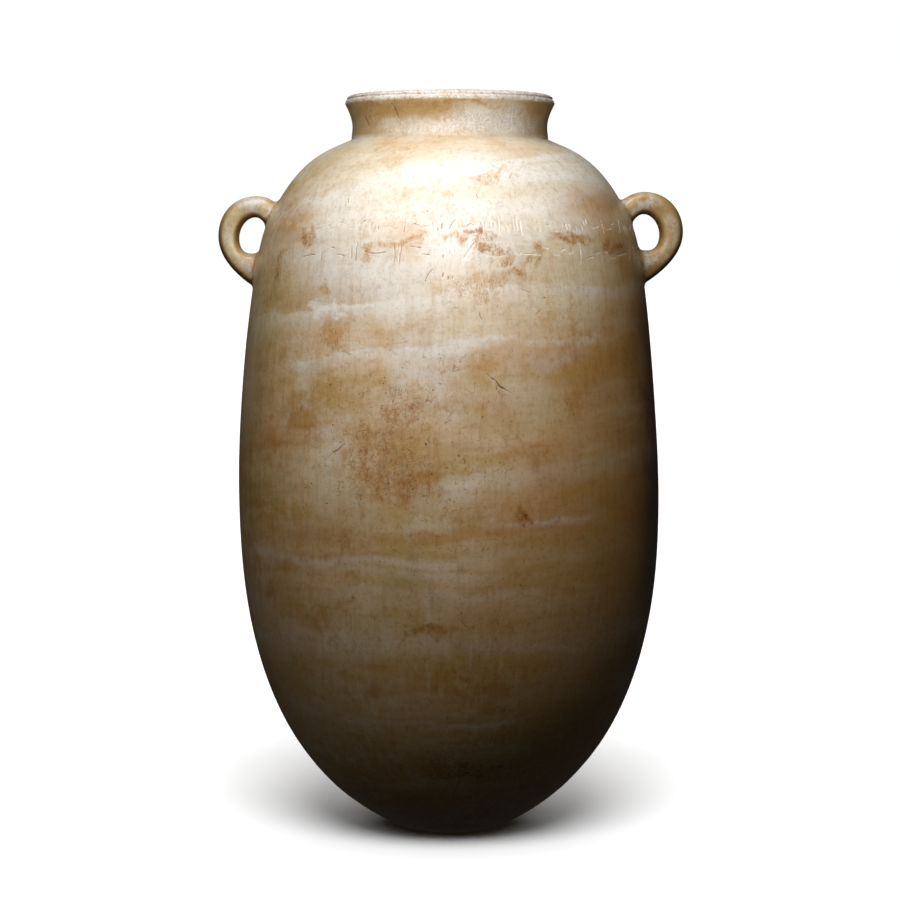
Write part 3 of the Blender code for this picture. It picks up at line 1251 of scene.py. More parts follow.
@dataclass
class StoneBench(NodeBench):
    """A bench for patterns in the stone, which lie in the object's own coordinates.

    loose and crooked are those coordinates pushed about, broadly and finely, and drift is a
    slow noise.  colour, film and frost are what the finishes have made of the stone so far.
    """

    loose_push: Push = Push(16.0, 0.030)
    crooked_push: Push = Push(90.0, 0.0035)
    slow: Noise = Noise(8.0, 3.0, 0.60)
    colour: Shade = Tone.HONEY
    film: Value = 0.0
    frost: Value = 0.0

    def __post_init__(self) -> None:
        """Take the object's coordinates: whole, one by one and pushed about."""
        self.spot: Socket = self.put("ShaderNodeTexCoord", {})["Object"]
        self.x, self.y, self.z = self.put("ShaderNodeSeparateXYZ", {0: self.spot})
        self.loose: Socket = self.jostled(self.spot, self.loose_push)
        self.crooked: Socket = self.jostled(self.spot, self.crooked_push)
        self.drift: Socket = self.cloud(self.slow)

    def coat(self, over: Shade, *shares: Value, kind: str = "MIX") -> None:
        """Blend a tone into the colour by the product of some shares."""
        self.colour = self.put("ShaderNodeMix", {0: self.times(*shares), 6: self.colour, 7: over},
                               data_type="RGBA", blend_type=kind, clamp_factor=True)[2]

    def noise(self, kind: Noise, vector: Socket) -> bpy.types.NodeOutputs:
        """Smooth noise without its stretch, as a value and as a colour."""
        inputs = {"Vector": vector, "Scale": kind.scale, "Detail": kind.detail, "Roughness": kind.rough}
        return self.put("ShaderNodeTexNoise", inputs, noise_dimensions="3D")

    def cloud(self, kind: Noise, vector: Socket | None = None) -> Socket:
        """Make smooth noise between 0 and 1.

        Args:
            kind: Which noise.
            vector: The coordinates that it lies in, the object's if none are given.

        Returns:
            The noise.
        """
        vector = self.spot if vector is None else vector
        if kind.stretch != (1.0, 1.0, 1.0):
            vector = self.shift("MULTIPLY", vector, kind.stretch)
        return self.noise(kind, vector)[0]

    def mottle(self, kind: Mottle, vector: Socket | None = None) -> Socket:
        """How strongly ragged patches show."""
        return self.window(self.cloud(kind.noise, vector), kind.step)

    def jostled(self, vector: Socket, push: Push) -> Socket:
        """Push a vector about, so that what is drawn on it gets ragged edges.

        Args:
            vector: The coordinates.
            push: How finely and how far they are pushed.

        Returns:
            The pushed coordinates.
        """
        way = self.shift("MULTIPLY_ADD", self.noise(Noise(push.scale, 2.0, 0.5), vector)[1],
                         (2.0 * push.amount,) * 3, vector)
        return self.shift("SUBTRACT", way, (push.amount,) * 3)

    def cells(self, vector: Socket, scale: float, feature: str = "F1") -> Socket:
        """The distance to the nearest cell point, or to the nearest edge between cells."""
        return self.put("ShaderNodeTexVoronoi", {"Vector": vector, "Scale": scale}, feature=feature)[0]

    def patch(self, vector: Socket, kind: Patch) -> Socket:
        """Lay one soft-edged patch.

        Args:
            vector: The coordinates that it lies in.
            kind: Which patch.

        Returns:
            1 within the patch's core, and 0 from its radii on.
        """
        offset = self.shift("SUBTRACT", vector, kind.centre)
        scaled = self.shift("MULTIPLY", offset, tuple(1.0 / radius for radius in kind.radii))
        length = self.put("ShaderNodeVectorMath", {0: scaled}, operation="LENGTH")["Value"]
        return self.window(length, Step(1.0, kind.core))

    def aside(self, step: Step) -> Socket:
        """A smooth step on how far to the left or right a place is."""
        return self.window(self.reckon("ABSOLUTE", self.x), step)

    def attribute(self, name: str) -> Socket:
        """A number that the mesh holds at its points."""
        return self.put("ShaderNodeAttribute", {}, attribute_name=name)["Fac"]


@dataclass(frozen=True)
class Ground:
    """The honey ground, clouded and blotched, with painted shade that turns its right side amber."""

    clouding: Noise = Noise(7.0, 4.0, 0.60, (1.0, 1.0, 2.4))
    clouds: tuple[tuple[float, Tone], ...] = (
        (0.34, Tone.AMBER), (0.46, Tone.HONEY), (0.56, Tone.PEACH), (0.74, Tone.CREAM),
    )
    olive: Mottle = Mottle(Noise(9.0, 4.0, 0.60), Step(0.52, 0.66, 0.60))
    blotches: Noise = Noise(24.0, 5.0, 0.66)
    blotch_stretch: Triple = (0.8, 0.8, 1.5)
    blotch_push: Push = Push(60.0, 0.010)
    dark_blotches: Step = Step(0.52, 0.66, 0.44)
    pale_blotches: Step = Step(0.47, 0.34, 0.40)
    # Painted shade: the right side turns amber past these X values, its edge wandering with a slow noise.
    shaded_right_drift: float = 0.16
    side: Step = Step(0.10, 0.20, 0.66)

    def dress(self, bench: StoneBench) -> None:
        """Lay the ground.

        Args:
            bench: The stone's bench.
        """
        bench.colour = bench.ramp(bench.cloud(self.clouding), self.clouds)
        bench.coat(Tone.OLIVE, bench.mottle(self.olive, bench.loose))
        wide = bench.jostled(bench.shift("MULTIPLY", bench.spot, self.blotch_stretch), self.blotch_push)
        blotch = bench.cloud(self.blotches, wide)
        bench.coat(Tone.AMBER, bench.window(blotch, self.dark_blotches))
        bench.coat(Tone.CREAM, bench.window(blotch, self.pale_blotches))
        # Painted shade: amber laid over the right side of the jar.
        bench.coat(Tone.AMBER, bench.window(bench.line(bench.drift, self.shaded_right_drift, bench.x), self.side))


@dataclass(frozen=True)
class Bands:
    """The level bands in the ground, which is paler at the shoulder, with painted shade that darkens it
    towards the foot.
    """

    wave: Noise = Noise(9.0, 3.0)
    wave_height: float = 0.030
    flatness: Triple = (0.7, 0.7, 8.0)
    tilt: float = -0.5
    bands: Noise = Noise(6.0, 3.0)
    pale_bands: Step = Step(0.52, 0.74, 0.34)
    dark_bands: Step = Step(0.49, 0.34, 0.58)
    height_drift: float = 0.10
    shoulder: Step = Step(0.44, 0.57, 0.85)
    milk: Mottle = Mottle(Noise(4.5, 3.0), Step(0.42, 0.60, 0.65))
    milk_least: float = 0.30
    milk_height: Step = Step(0.47, 0.57)
    streaks: Noise = Noise(6.5, 4.0, 0.62)
    streak_push: Push = Push(9.0, 0.09)
    streak: Step = Step(0.50, 0.66, 0.50)
    streak_height: Step = Step(0.44, 0.50)
    # Painted shade: how the colour darkens to resin towards the foot.
    painted_foot_shade: Step = Step(0.32, 0.16, 0.48)

    def dress(self, bench: StoneBench) -> None:
        """Lay the bands.

        Args:
            bench: The stone's bench.
        """
        across, deep, up = self.flatness
        wave = bench.line(bench.cloud(self.wave), self.wave_height, bench.z)
        level = bench.put("ShaderNodeCombineXYZ", {
            0: bench.times(bench.x, across),
            1: bench.times(bench.y, deep),
            2: bench.line(bench.x, self.tilt, bench.times(wave, up)),
        })[0]
        band = bench.cloud(self.bands, level)
        bench.coat(Tone.CREAM, bench.window(band, self.pale_bands))
        bench.coat(Tone.AMBER, bench.window(band, self.dark_bands))
        height = bench.line(bench.drift, self.height_drift, bench.z)
        bench.coat(Tone.CREAM, bench.window(height, self.shoulder))
        milk = bench.reckon("ADD", bench.mottle(self.milk, level), self.milk_least)
        bench.coat(Tone.MILK, milk, bench.window(height, self.milk_height))
        streak = bench.window(bench.cloud(self.streaks, bench.jostled(level, self.streak_push)), self.streak)
        bench.coat(Tone.STRAW, streak, bench.window(height, self.streak_height))
        # Painted shade: resin laid over the lower body, stronger towards the foot.
        bench.coat(Tone.RESIN, bench.window(height, self.painted_foot_shade))


class Tint(NamedTuple):
    """A broad soft change of the ground: its middle, radii, tone and strength."""

    centre: Triple
    radii: Triple
    tone: Tone
    share: float


@dataclass(frozen=True)
class Tints:
    """Where the ground is paler or browner, broadly and softly.  Some tints are painted light: shade on the
    right edge and at the foot, a sheen down the left edge, and in part the highlight on the front of the
    shoulder.
    """

    core: float = 0.15
    tints: tuple[Tint, ...] = (
        # Partly painted highlight: a neutral pale patch where the shoulder's highlight falls, and partly the
        # stone's paler tone.
        Tint((0.010, -0.122, 0.533), (0.090, 0.060, 0.030), Tone.PEARL, 0.50),
        Tint((0.085, -0.130, 0.442), (0.058, 0.060, 0.056), Tone.CREAM, 0.72),
        Tint((-0.066, -0.145, 0.456), (0.095, 0.070, 0.046), Tone.PEARL, 0.56),
        Tint((-0.074, -0.135, 0.464), (0.060, 0.060, 0.026), Tone.MILK, 0.50),
        # Partly painted highlight: a neutral pale patch where the highlight runs down the front, and partly
        # the stone's paler tone.
        Tint((0.008, -0.150, 0.482), (0.080, 0.060, 0.045), Tone.PEARL, 0.60),
        Tint((-0.015, -0.165, 0.388), (0.050, 0.060, 0.070), Tone.PEARL, 0.36),
        Tint((0.064, -0.155, 0.355), (0.040, 0.050, 0.036), Tone.CREAM, 0.40),
        Tint((0.088, -0.140, 0.390), (0.040, 0.040, 0.013), Tone.PEARL, 0.30),
        Tint((-0.126, -0.076, 0.500), (0.050, 0.070, 0.044), Tone.AMBER, 0.72),
        Tint((-0.100, -0.066, 0.546), (0.042, 0.050, 0.017), Tone.HONEY, 0.50),
        Tint((0.120, -0.082, 0.500), (0.066, 0.070, 0.040), Tone.AMBER, 0.66),
        Tint((0.142, -0.074, 0.462), (0.036, 0.060, 0.036), Tone.AMBER, 0.60),
        Tint((0.000, -0.092, 0.560), (0.130, 0.080, 0.011), Tone.PEACH, 0.50),
        Tint((-0.040, -0.150, 0.484), (0.032, 0.040, 0.012), Tone.PEACH, 0.60),
        Tint((0.022, -0.155, 0.448), (0.060, 0.050, 0.022), Tone.PEACH, 0.45),
        Tint((0.072, -0.152, 0.285), (0.072, 0.070, 0.058), Tone.AMBER, 0.70),
        Tint((-0.080, -0.150, 0.302), (0.060, 0.060, 0.066), Tone.CREAM, 0.46),
        Tint((-0.122, -0.118, 0.242), (0.050, 0.060, 0.052), Tone.AMBER, 0.46),
        Tint((0.040, -0.160, 0.192), (0.085, 0.070, 0.050), Tone.AMBER, 0.52),
        Tint((-0.066, -0.145, 0.178), (0.060, 0.055, 0.032), Tone.CREAM, 0.40),
        # Painted shade: umber down the right edge.
        Tint((0.170, -0.045, 0.320), (0.042, 0.110, 0.240), Tone.UMBER, 0.90),
        # Painted sheen: a pale grey band down the left edge.
        Tint((-0.170, -0.040, 0.400), (0.034, 0.080, 0.120), Tone.PEARL, 0.50),
        # Painted shade: umber darkening the foot.
        Tint((0.000, -0.060, 0.020), (0.140, 0.140, 0.055), Tone.UMBER, 0.40),
    )

    def dress(self, bench: StoneBench) -> None:
        """Lay the tints.

        Args:
            bench: The stone's bench.
        """
        for centre, radii, tone, share in self.tints:
            bench.coat(tone, bench.patch(bench.loose, Patch(centre, radii, self.core)), share)


class Vein(NamedTuple):
    """A pale layer in the stone, crisp above and fading below.

    Its height is where it crosses the middle of the front, its tilt is how much it rises
    with X, and it shows from left to right along X.
    """

    height: float
    tilt: float
    fade: float
    strength: float
    left: float = -0.30
    right: float = 0.30
    crisp: float = 0.0014


@dataclass(frozen=True)
class PaleLayers:
    """The pale veins: each a bright line with a paler body below, here crisp and there soft."""

    wave: Noise = Noise(14.0, 6.0, 0.66)
    wave_height: float = 0.032
    presence: Mottle = Mottle(Noise(16.0, 5.0, 0.68), Step(0.42, 0.60))
    least_presence: float = 0.52
    soft: Span = (0.010, -0.008)
    line: Span = (-0.0075, -0.0005)
    line_share: float = 0.85
    body_share: float = 0.52
    end_fade: float = 0.05
    veins: tuple[Vein, ...] = (
        Vein(0.5400, 0.246, 0.014, 1.00, -0.200, 0.050, 0.006),
        Vein(0.5480, -0.160, 0.012, 0.70, 0.020, 0.160, 0.006),
        Vein(0.4425, 0.125, 0.022, 1.10, -0.190, 0.085, 0.0018),
        Vein(0.4500, -0.010, 0.014, 0.80, 0.050, 0.175, 0.0022),
        Vein(0.4045, 0.112, 0.011, 1.10, -0.150, 0.070, 0.0018),
        Vein(0.4085, -0.010, 0.010, 0.60, 0.035, 0.140),
        Vein(0.3700, -0.020, 0.016, 0.16, 0.030, 0.160, 0.014),
        Vein(0.3020, 0.110, 0.020, 0.34, -0.060, 0.200, 0.008),
        Vein(0.2665, 0.020, 0.008, 0.50, 0.015, 0.130, 0.003),
        Vein(0.2390, 0.015, 0.010, 0.40, -0.200, 0.045, 0.006),
        Vein(0.2300, -0.010, 0.006, 0.30, -0.120, 0.060, 0.004),
        Vein(0.2150, 0.010, 0.020, 0.25, -0.120, 0.090, 0.006),
        Vein(0.1720, 0.000, 0.010, 0.20, -0.200, 0.200, 0.016),
        Vein(0.1130, 0.000, 0.008, 0.36, -0.105, 0.080, 0.003),
    )

    def dress(self, bench: StoneBench) -> None:
        """Draw the veins.

        Args:
            bench: The stone's bench.
        """
        wave = bench.line(bench.cloud(self.wave), self.wave_height, bench.z)
        wave = bench.reckon("ADD", wave, -0.5 * self.wave_height)
        presence = bench.from_least(bench.mottle(self.presence), self.least_presence)
        absence = bench.reckon("SUBTRACT", 1.0, presence)
        for vein in self.veins:
            over = bench.line(bench.x, -vein.tilt, wave)
            crisp = bench.window(over, Step(vein.height + vein.crisp, vein.height))
            soft = bench.window(over, Step(*(vein.height + edge for edge in self.soft)))
            top = bench.line(crisp, presence, bench.times(soft, absence))
            line = bench.window(over, Step(*(vein.height + edge for edge in self.line),
                                           self.line_share * vein.strength))
            body = bench.window(over, Step(vein.height - vein.fade, vein.height,
                                           self.body_share * vein.strength))
            ends = [bench.window(bench.x, Step(end, end + fade))
                    for end, fade in ((vein.left, self.end_fade), (vein.right, -self.end_fade))]
            bench.coat(Tone.MILK, top, bench.most(bench.times(line, presence), body), *ends)


@dataclass(frozen=True)
class Film:
    """The milky film that wear left on the polish, in patches and upright streaks."""

    edge: Noise = Noise(9.0, 4.0)
    edge_drift: float = 0.10
    reach: Step = Step(0.16, 0.06)
    least_reach: float = 0.12
    patches: Mottle = Mottle(Noise(15.0, 7.0, 0.74), Step(0.50, 0.66, 0.42))
    patch_height: Step = Step(0.24, 0.34)
    least_patches: float = 0.18
    streaks: Mottle = Mottle(Noise(150.0, 3.0, 0.60, (1.0, 1.0, 0.045)), Step(0.50, 0.72, 0.22))
    streak_patches: Mottle = Mottle(Noise(10.0, 3.0), Step(0.40, 0.60))
    bloom: Patch = Patch((-0.010, -0.160, 0.400), (0.110, 0.100, 0.110), 0.15)
    bloom_grain: Mottle = Mottle(Noise(34.0, 5.0, 0.66), Step(0.34, 0.62, 0.50))
    dark_streaks: Mottle = Mottle(Noise(110.0, 3.0, 0.60, (1.0, 1.0, 0.06)), Step(0.54, 0.74, 0.28))

    def dress(self, bench: StoneBench) -> None:
        """Lay the film, and dark streaks under it.

        Args:
            bench: The stone's bench.
        """
        reach = bench.window(bench.line(bench.cloud(self.edge), self.edge_drift, bench.x), self.reach)
        height = bench.from_least(bench.window(bench.z, self.patch_height), self.least_patches)
        patches = bench.times(bench.mottle(self.patches), height)
        streaks = bench.times(bench.mottle(self.streaks), bench.mottle(self.streak_patches))
        bloom = bench.times(bench.patch(bench.loose, self.bloom), bench.mottle(self.bloom_grain))
        film = bench.times(bench.most(patches, streaks), bench.from_least(reach, self.least_reach))
        bench.film = bench.most(film, bloom)
        bench.coat(Tone.AMBER, bench.mottle(self.dark_streaks))
        bench.coat(Tone.MILK, bench.film)


class Stain(NamedTuple):
    """A ragged stain: its middle, radii and strength, and how brown it is and how chalky inside."""

    centre: Triple
    radii: Triple
    strength: float
    brown: float = 0.3
    chalk: float = 0.0


class Contour(NamedTuple):
    """Fine brown lines in the stains, along a noise's middle: their width and their strength."""

    noise: Noise
    width: float
    share: float


@dataclass(frozen=True)
class Stains:
    """The orange and brown stains that use and the ground left."""

    broad_push: Push = Push(20.0, 0.024)
    fine_push: Push = Push(80.0, 0.010)
    core: float = 0.18
    lean: Triple = (1.0, 1.0, 0.55)
    stray: Mottle = Mottle(Noise(12.0, 4.0, 0.70), Step(0.48, 0.68, 0.50))
    middle: Noise = Noise(70.0, 5.0, 0.76)
    middle_share: float = 0.54
    fine: Noise = Noise(230.0, 5.0, 0.80)
    soft_islands: Step = Step(0.54, 0.70)
    soft_share: float = 0.60
    firm_islands: Step = Step(0.68, 0.82)
    firm_share: float = 0.66
    brown_grain: Noise = Noise(300.0, 4.0, 0.80)
    brown_islands: Step = Step(0.60, 0.74)
    brown_share: float = 0.85
    contours: tuple[Contour, ...] = (
        Contour(Noise(70.0, 3.0, 0.60), 0.008, 0.26), Contour(Noise(190.0, 3.0, 0.60), 0.022, 0.55),
    )
    contour_core: float = 0.3
    contour_zone: Span = (0.15, 0.55)
    chalk_grain: Noise = Noise(110.0, 5.0, 0.76, (0.7, 0.7, 1.6))
    chalk_islands: Step = Step(0.60, 0.80)
    chalk_share: float = 0.80
    spreading: float = 0.30
    fading: float = 3.0
    stains: tuple[Stain, ...] = (
        Stain((-0.094, -0.130, 0.4290), (0.038, 0.030, 0.0085), 0.00, 0.00, 0.84),
        Stain((-0.034, -0.149, 0.4830), (0.026, 0.025, 0.0080), 1.00, 0.35),
        Stain((0.024, -0.150, 0.4880), (0.020, 0.024, 0.0070), 1.00, 0.70),
        Stain((0.030, -0.150, 0.4770), (0.013, 0.024, 0.0120), 1.00, 0.72, 0.50),
        Stain((0.040, -0.148, 0.4670), (0.012, 0.022, 0.0090), 0.85, 0.55),
        Stain((0.014, -0.151, 0.4760), (0.012, 0.022, 0.0080), 0.45, 0.20, 0.95),
        Stain((-0.108, -0.106, 0.4800), (0.030, 0.032, 0.0100), 0.80, 0.42),
        Stain((0.092, -0.124, 0.4800), (0.036, 0.034, 0.0090), 1.00, 0.40),
        Stain((0.124, -0.092, 0.4770), (0.018, 0.022, 0.0170), 0.85, 0.50),
        Stain((0.066, -0.143, 0.4660), (0.013, 0.020, 0.0130), 1.00, 0.45),
        Stain((0.050, -0.148, 0.4540), (0.018, 0.022, 0.0080), 1.00, 0.35),
        Stain((0.020, -0.156, 0.4480), (0.060, 0.036, 0.0240), 0.48, 0.22),
        Stain((0.087, -0.130, 0.4340), (0.010, 0.020, 0.0260), 0.45, 0.15),
        Stain((0.100, -0.120, 0.4160), (0.010, 0.020, 0.0220), 0.60, 0.15),
        Stain((0.006, -0.152, 0.4840), (0.022, 0.020, 0.0050), 0.90, 0.30),
        Stain((-0.060, -0.140, 0.4810), (0.010, 0.020, 0.0130), 0.80, 0.30),
        Stain((-0.130, -0.060, 0.5080), (0.014, 0.022, 0.0090), 0.70, 0.30),
        Stain((-0.088, -0.138, 0.4080), (0.024, 0.026, 0.0260), 0.50, 0.15),
        Stain((-0.092, -0.132, 0.4420), (0.014, 0.020, 0.0100), 0.65, 0.15),
        Stain((-0.134, -0.083, 0.4580), (0.009, 0.012, 0.0170), 0.70, 0.40),
        Stain((-0.035, -0.165, 0.3530), (0.034, 0.036, 0.0340), 0.60, 0.26),
        Stain((-0.052, -0.162, 0.3180), (0.064, 0.050, 0.0480), 0.66, 0.24),
        Stain((-0.026, -0.165, 0.2960), (0.036, 0.040, 0.0260), 0.50, 0.18),
        Stain((-0.112, -0.124, 0.3440), (0.042, 0.042, 0.0380), 0.28, 0.24),
        Stain((0.098, -0.137, 0.3590), (0.034, 0.038, 0.0290), 0.36, 0.05),
        Stain((0.063, -0.159, 0.3180), (0.030, 0.032, 0.0220), 0.38, 0.14),
        Stain((0.056, -0.162, 0.2720), (0.014, 0.018, 0.0130), 0.60, 0.40),
        Stain((-0.086, -0.149, 0.2560), (0.030, 0.032, 0.0160), 0.40, 0.15),
        Stain((-0.020, -0.163, 0.1800), (0.036, 0.030, 0.0120), 0.60, 0.20),
        Stain((0.010, -0.118, 0.0780), (0.080, 0.060, 0.0180), 0.45, 0.36),
        Stain((0.098, -0.110, 0.1900), (0.018, 0.024, 0.0300), 0.50, 0.36),
        Stain((-0.008, -0.082, 0.5870), (0.022, 0.015, 0.0100), 1.00, 0.10),
        Stain((-0.056, -0.058, 0.5830), (0.034, 0.040, 0.0140), 0.75, 0.25),
        Stain((0.067, -0.044, 0.5820), (0.020, 0.040, 0.0180), 0.75, 0.15),
        Stain((0.020, -0.080, 0.5890), (0.050, 0.040, 0.0060), 0.60, 0.20),
        Stain((-0.010, -0.083, 0.5960), (0.080, 0.050, 0.0040), 0.60, 0.40),
        Stain((0.034, -0.125, 0.5290), (0.030, 0.025, 0.0080), 0.50, 0.05),
        Stain((-0.050, 0.150, 0.3900), (0.080, 0.060, 0.0500), 0.60, 0.20),
        Stain((0.090, 0.130, 0.2400), (0.070, 0.060, 0.0600), 0.50, 0.20),
        Stain((0.040, 0.130, 0.4900), (0.090, 0.060, 0.0140), 0.60, 0.25),
    )

    def zones(self, bench: StoneBench) -> tuple[Value, Value, Value]:
        """Lay the places of all stains out.

        Args:
            bench: The stone's bench.

        Returns:
            How orange, how brown and how chalky each place is.
        """
        loose = bench.jostled(bench.jostled(bench.spot, self.broad_push), self.fine_push)
        orange, brown, chalk = 0.0, 0.0, 0.0
        for stain in self.stains:
            zone = bench.patch(loose, Patch(stain.centre, stain.radii, self.core))
            orange = bench.most(orange, bench.times(zone, stain.strength))
            brown = bench.most(brown, bench.times(zone, stain.brown))
            if stain.chalk:
                chalk = bench.most(chalk, bench.times(zone, stain.chalk))
        return orange, brown, chalk

    def dress(self, bench: StoneBench) -> None:
        """Lay the stains.

        Args:
            bench: The stone's bench.
        """
        orange, brown, chalk = self.zones(bench)
        leaning = bench.shift("MULTIPLY", bench.spot, self.lean)
        fine = bench.cloud(self.fine, leaning)
        mixed = bench.line(bench.cloud(self.middle, leaning), self.middle_share,
                           bench.times(fine, 1.0 - self.middle_share))
        soft = self.spread(bench, bench.most(orange, bench.mottle(self.stray)), mixed, self.soft_islands)
        bench.coat(Tone.TEA, soft, self.soft_share, kind="MULTIPLY")
        firm = self.spread(bench, orange, fine, self.firm_islands)
        bench.coat(Tone.TEA, firm, self.firm_share, kind="MULTIPLY")
        dark = self.spread(bench, brown, bench.cloud(self.brown_grain, leaning), self.brown_islands)
        bench.coat(Tone.BARK, dark, self.brown_share, kind="MULTIPLY")
        for kind, width, share in self.contours:
            off = bench.reckon("ABSOLUTE", bench.reckon("SUBTRACT", bench.cloud(kind), 0.5))
            edge = bench.window(off, Step(width, self.contour_core * width))
            zone = bench.window(orange, Step(*self.contour_zone, share))
            bench.coat(Tone.BARK, edge, zone, kind="MULTIPLY")
        white = self.spread(bench, chalk, bench.cloud(self.chalk_grain), self.chalk_islands)
        bench.coat(Tone.MILK, white, self.chalk_share)

    def spread(self, bench: StoneBench, zone: Value, grain: Value, islands: Step) -> Socket:
        """Break a soft zone up into ragged islands.

        Args:
            bench: The stone's bench.
            zone: How strong the stain is, from 0 to 1.
            grain: The noise that decides where its islands are.
            islands: The step at the islands' edges; a full zone lowers it.

        Returns:
            How strongly the stain shows.
        """
        shown = bench.window(bench.line(zone, self.spreading, grain), islands)
        return bench.times(shown, bench.reckon("MULTIPLY", zone, self.fading, clamp=True))


class Net(NamedTuple):
    """A net of hair cracks: its meshes and its breaks to a metre, and its strength."""

    meshes: float
    breaks: float
    strength: float


@dataclass(frozen=True)
class Cracks:
    """Short hair cracks and dark specks, more of them in the worn patches."""

    worn: Patch = Patch((-0.035, -0.165, 0.335), (0.130, 0.090, 0.105), 0.40)
    lower: Patch = Patch((-0.010, -0.150, 0.215), (0.150, 0.090, 0.100), 0.40)
    lower_share: float = 0.62
    least_worn: float = 0.14
    nets: tuple[Net, ...] = (Net(60.0, 135.0, 1.0), Net(120.0, 150.0, 0.70))
    half_width: float = 0.00036
    core_width: float = 0.00012
    breaks: Step = Step(0.57, 0.61)
    crack_share: float = 0.62
    specks: float = 180.0
    speck: Step = Step(0.15, 0.08)
    speck_patches: Mottle = Mottle(Noise(48.0, 3.0), Step(0.47, 0.54))
    speck_share: float = 0.85

    def dress(self, bench: StoneBench) -> None:
        """Draw the cracks and specks.

        Args:
            bench: The stone's bench.
        """
        lower = bench.times(bench.patch(bench.spot, self.lower), self.lower_share)
        worn = bench.from_least(bench.most(bench.patch(bench.spot, self.worn), lower), self.least_worn)
        for net in self.nets:
            edge = bench.cells(bench.crooked, net.meshes, "DISTANCE_TO_EDGE")
            line = bench.window(edge, Step(self.half_width * net.meshes, self.core_width * net.meshes))
            broken = bench.mottle(Mottle(Noise(net.breaks, 2.0), self.breaks), bench.crooked)
            bench.coat(Tone.CRACK, line, broken, worn, net.strength, self.crack_share)
        speck = bench.window(bench.cells(bench.crooked, self.specks), self.speck)
        bench.coat(Tone.UMBER, speck, bench.mottle(self.speck_patches), worn, self.speck_share)


@dataclass(frozen=True)
class NeckFrost:
    """The tan and the sugary frost on the neck, and the crumbs of dirt on the rim."""

    neck: Step = Step(0.5640, 0.5680)
    rim: Step = Step(0.5915, 0.5935)
    push: Push = Push(60.0, 0.006)
    beside: Step = Step(0.035, 0.070, 0.80)
    least_tan: float = 0.30
    tan: Patch = Patch((-0.030, -0.070, 0.5860), (0.065, 0.060, 0.0150), 0.30)
    tan_share: float = 0.85
    right: Patch = Patch((0.038, -0.072, 0.5750), (0.060, 0.060, 0.0180), 0.35)
    left: Patch = Patch((-0.020, -0.080, 0.5700), (0.050, 0.050, 0.0090), 0.30)
    left_share: float = 0.75
    sugar: Mottle = Mottle(Noise(650.0, 3.0, 0.80), Step(0.42, 0.60, 0.74))
    least_sugar: float = 0.20
    breaks: Noise = Noise(60.0, 5.0, 0.70)
    unbroken: Step = Step(0.30, 0.56)
    rim_share: float = 0.72
    crumbs: Mottle = Mottle(Noise(300.0, 4.0, 0.75, (1.0, 1.0, 1.6)), Step(0.57, 0.65, 0.85))
    dusty: Step = Step(0.46, 0.58)
    neck_crumbs: float = 0.60

    def dress(self, bench: StoneBench) -> None:
        """Tone and frost the neck and the rim.

        Args:
            bench: The stone's bench.
        """
        loose = bench.jostled(bench.spot, self.push)
        neck, rim = bench.window(bench.z, self.neck), bench.window(bench.z, self.rim)
        beside = bench.times(bench.most(bench.aside(self.beside), self.least_tan), neck)
        tan = bench.most(beside, bench.times(bench.patch(loose, self.tan), self.tan_share))
        bench.coat(Tone.TAN, tan)
        left = bench.times(bench.patch(loose, self.left), self.left_share)
        zone = bench.most(bench.times(bench.most(bench.patch(loose, self.right), left), neck), rim)
        broken = bench.cloud(self.breaks, loose)
        zone = bench.most(bench.times(zone, bench.window(broken, self.unbroken)),
                          bench.times(rim, self.rim_share))
        bench.frost = bench.times(zone, bench.reckon("ADD", bench.mottle(self.sugar), self.least_sugar))
        bench.coat(Tone.FROST, bench.frost)
        dusty = bench.times(neck, bench.window(broken, self.dusty), self.neck_crumbs)
        bench.coat(Tone.CRUMB, bench.mottle(self.crumbs), bench.most(rim, dusty))


@dataclass(frozen=True)
class MarkTones:
    """The tones of the cut strokes, the scratches and the chips.

    Dirt stays in the strokes near the middle of the front, and those to the right are pale.
    """

    patches: Noise = Noise(26.0, 3.0)
    right_drift: float = 0.12
    right: Step = Step(0.05, 0.13)
    pale_cut: Step = Step(0.10, 0.60, 0.70)
    pale: Slope = Slope(0.55, 0.42)
    dirt: Step = Step(0.36, 0.54)
    dirty_cut: Step = Step(0.45, 0.80, 0.85)
    dirty: Slope = Slope(0.8, 0.12)
    chip: Step = Step(0.45, 0.80, 0.35)
    scored: Step = Step(0.40, 0.78, 0.90)

    def dress(self, bench: StoneBench) -> None:
        """Tone the marks that the mesh holds.

        Args:
            bench: The stone's bench.
        """
        cut = bench.attribute("cut")
        patchy = bench.cloud(self.patches)
        right = bench.window(bench.line(patchy, self.right_drift, bench.x), self.right)
        bench.coat(Tone.MILK, bench.window(cut, self.pale_cut), bench.line(right, *self.pale))
        dirt = bench.times(bench.window(patchy, self.dirt), bench.reckon("SUBTRACT", 1.0, right))
        bench.coat(Tone.SOIL, bench.window(cut, self.dirty_cut), bench.line(dirt, *self.dirty))
        bench.coat(Tone.FROST, bench.window(bench.attribute("chip"), self.chip))
        bench.coat(Tone.SCORE, bench.window(bench.attribute("wear"), self.scored))


@dataclass(frozen=True)
class ShadedSides:
    """Painted shade: both sides, from the belly up, made warmer and darker towards the left and right edges.
    """

    beside: Step = Step(0.095, 0.160, 0.90)
    height: Step = Step(0.20, 0.30)

    def dress(self, bench: StoneBench) -> None:
        """Paint shade on both sides, warmer and darker."""
        # Painted shade: the colour darkened and warmed towards both side edges.
        bench.coat(Tone.HELD, bench.aside(self.beside), bench.window(bench.z, self.height), kind="MULTIPLY")


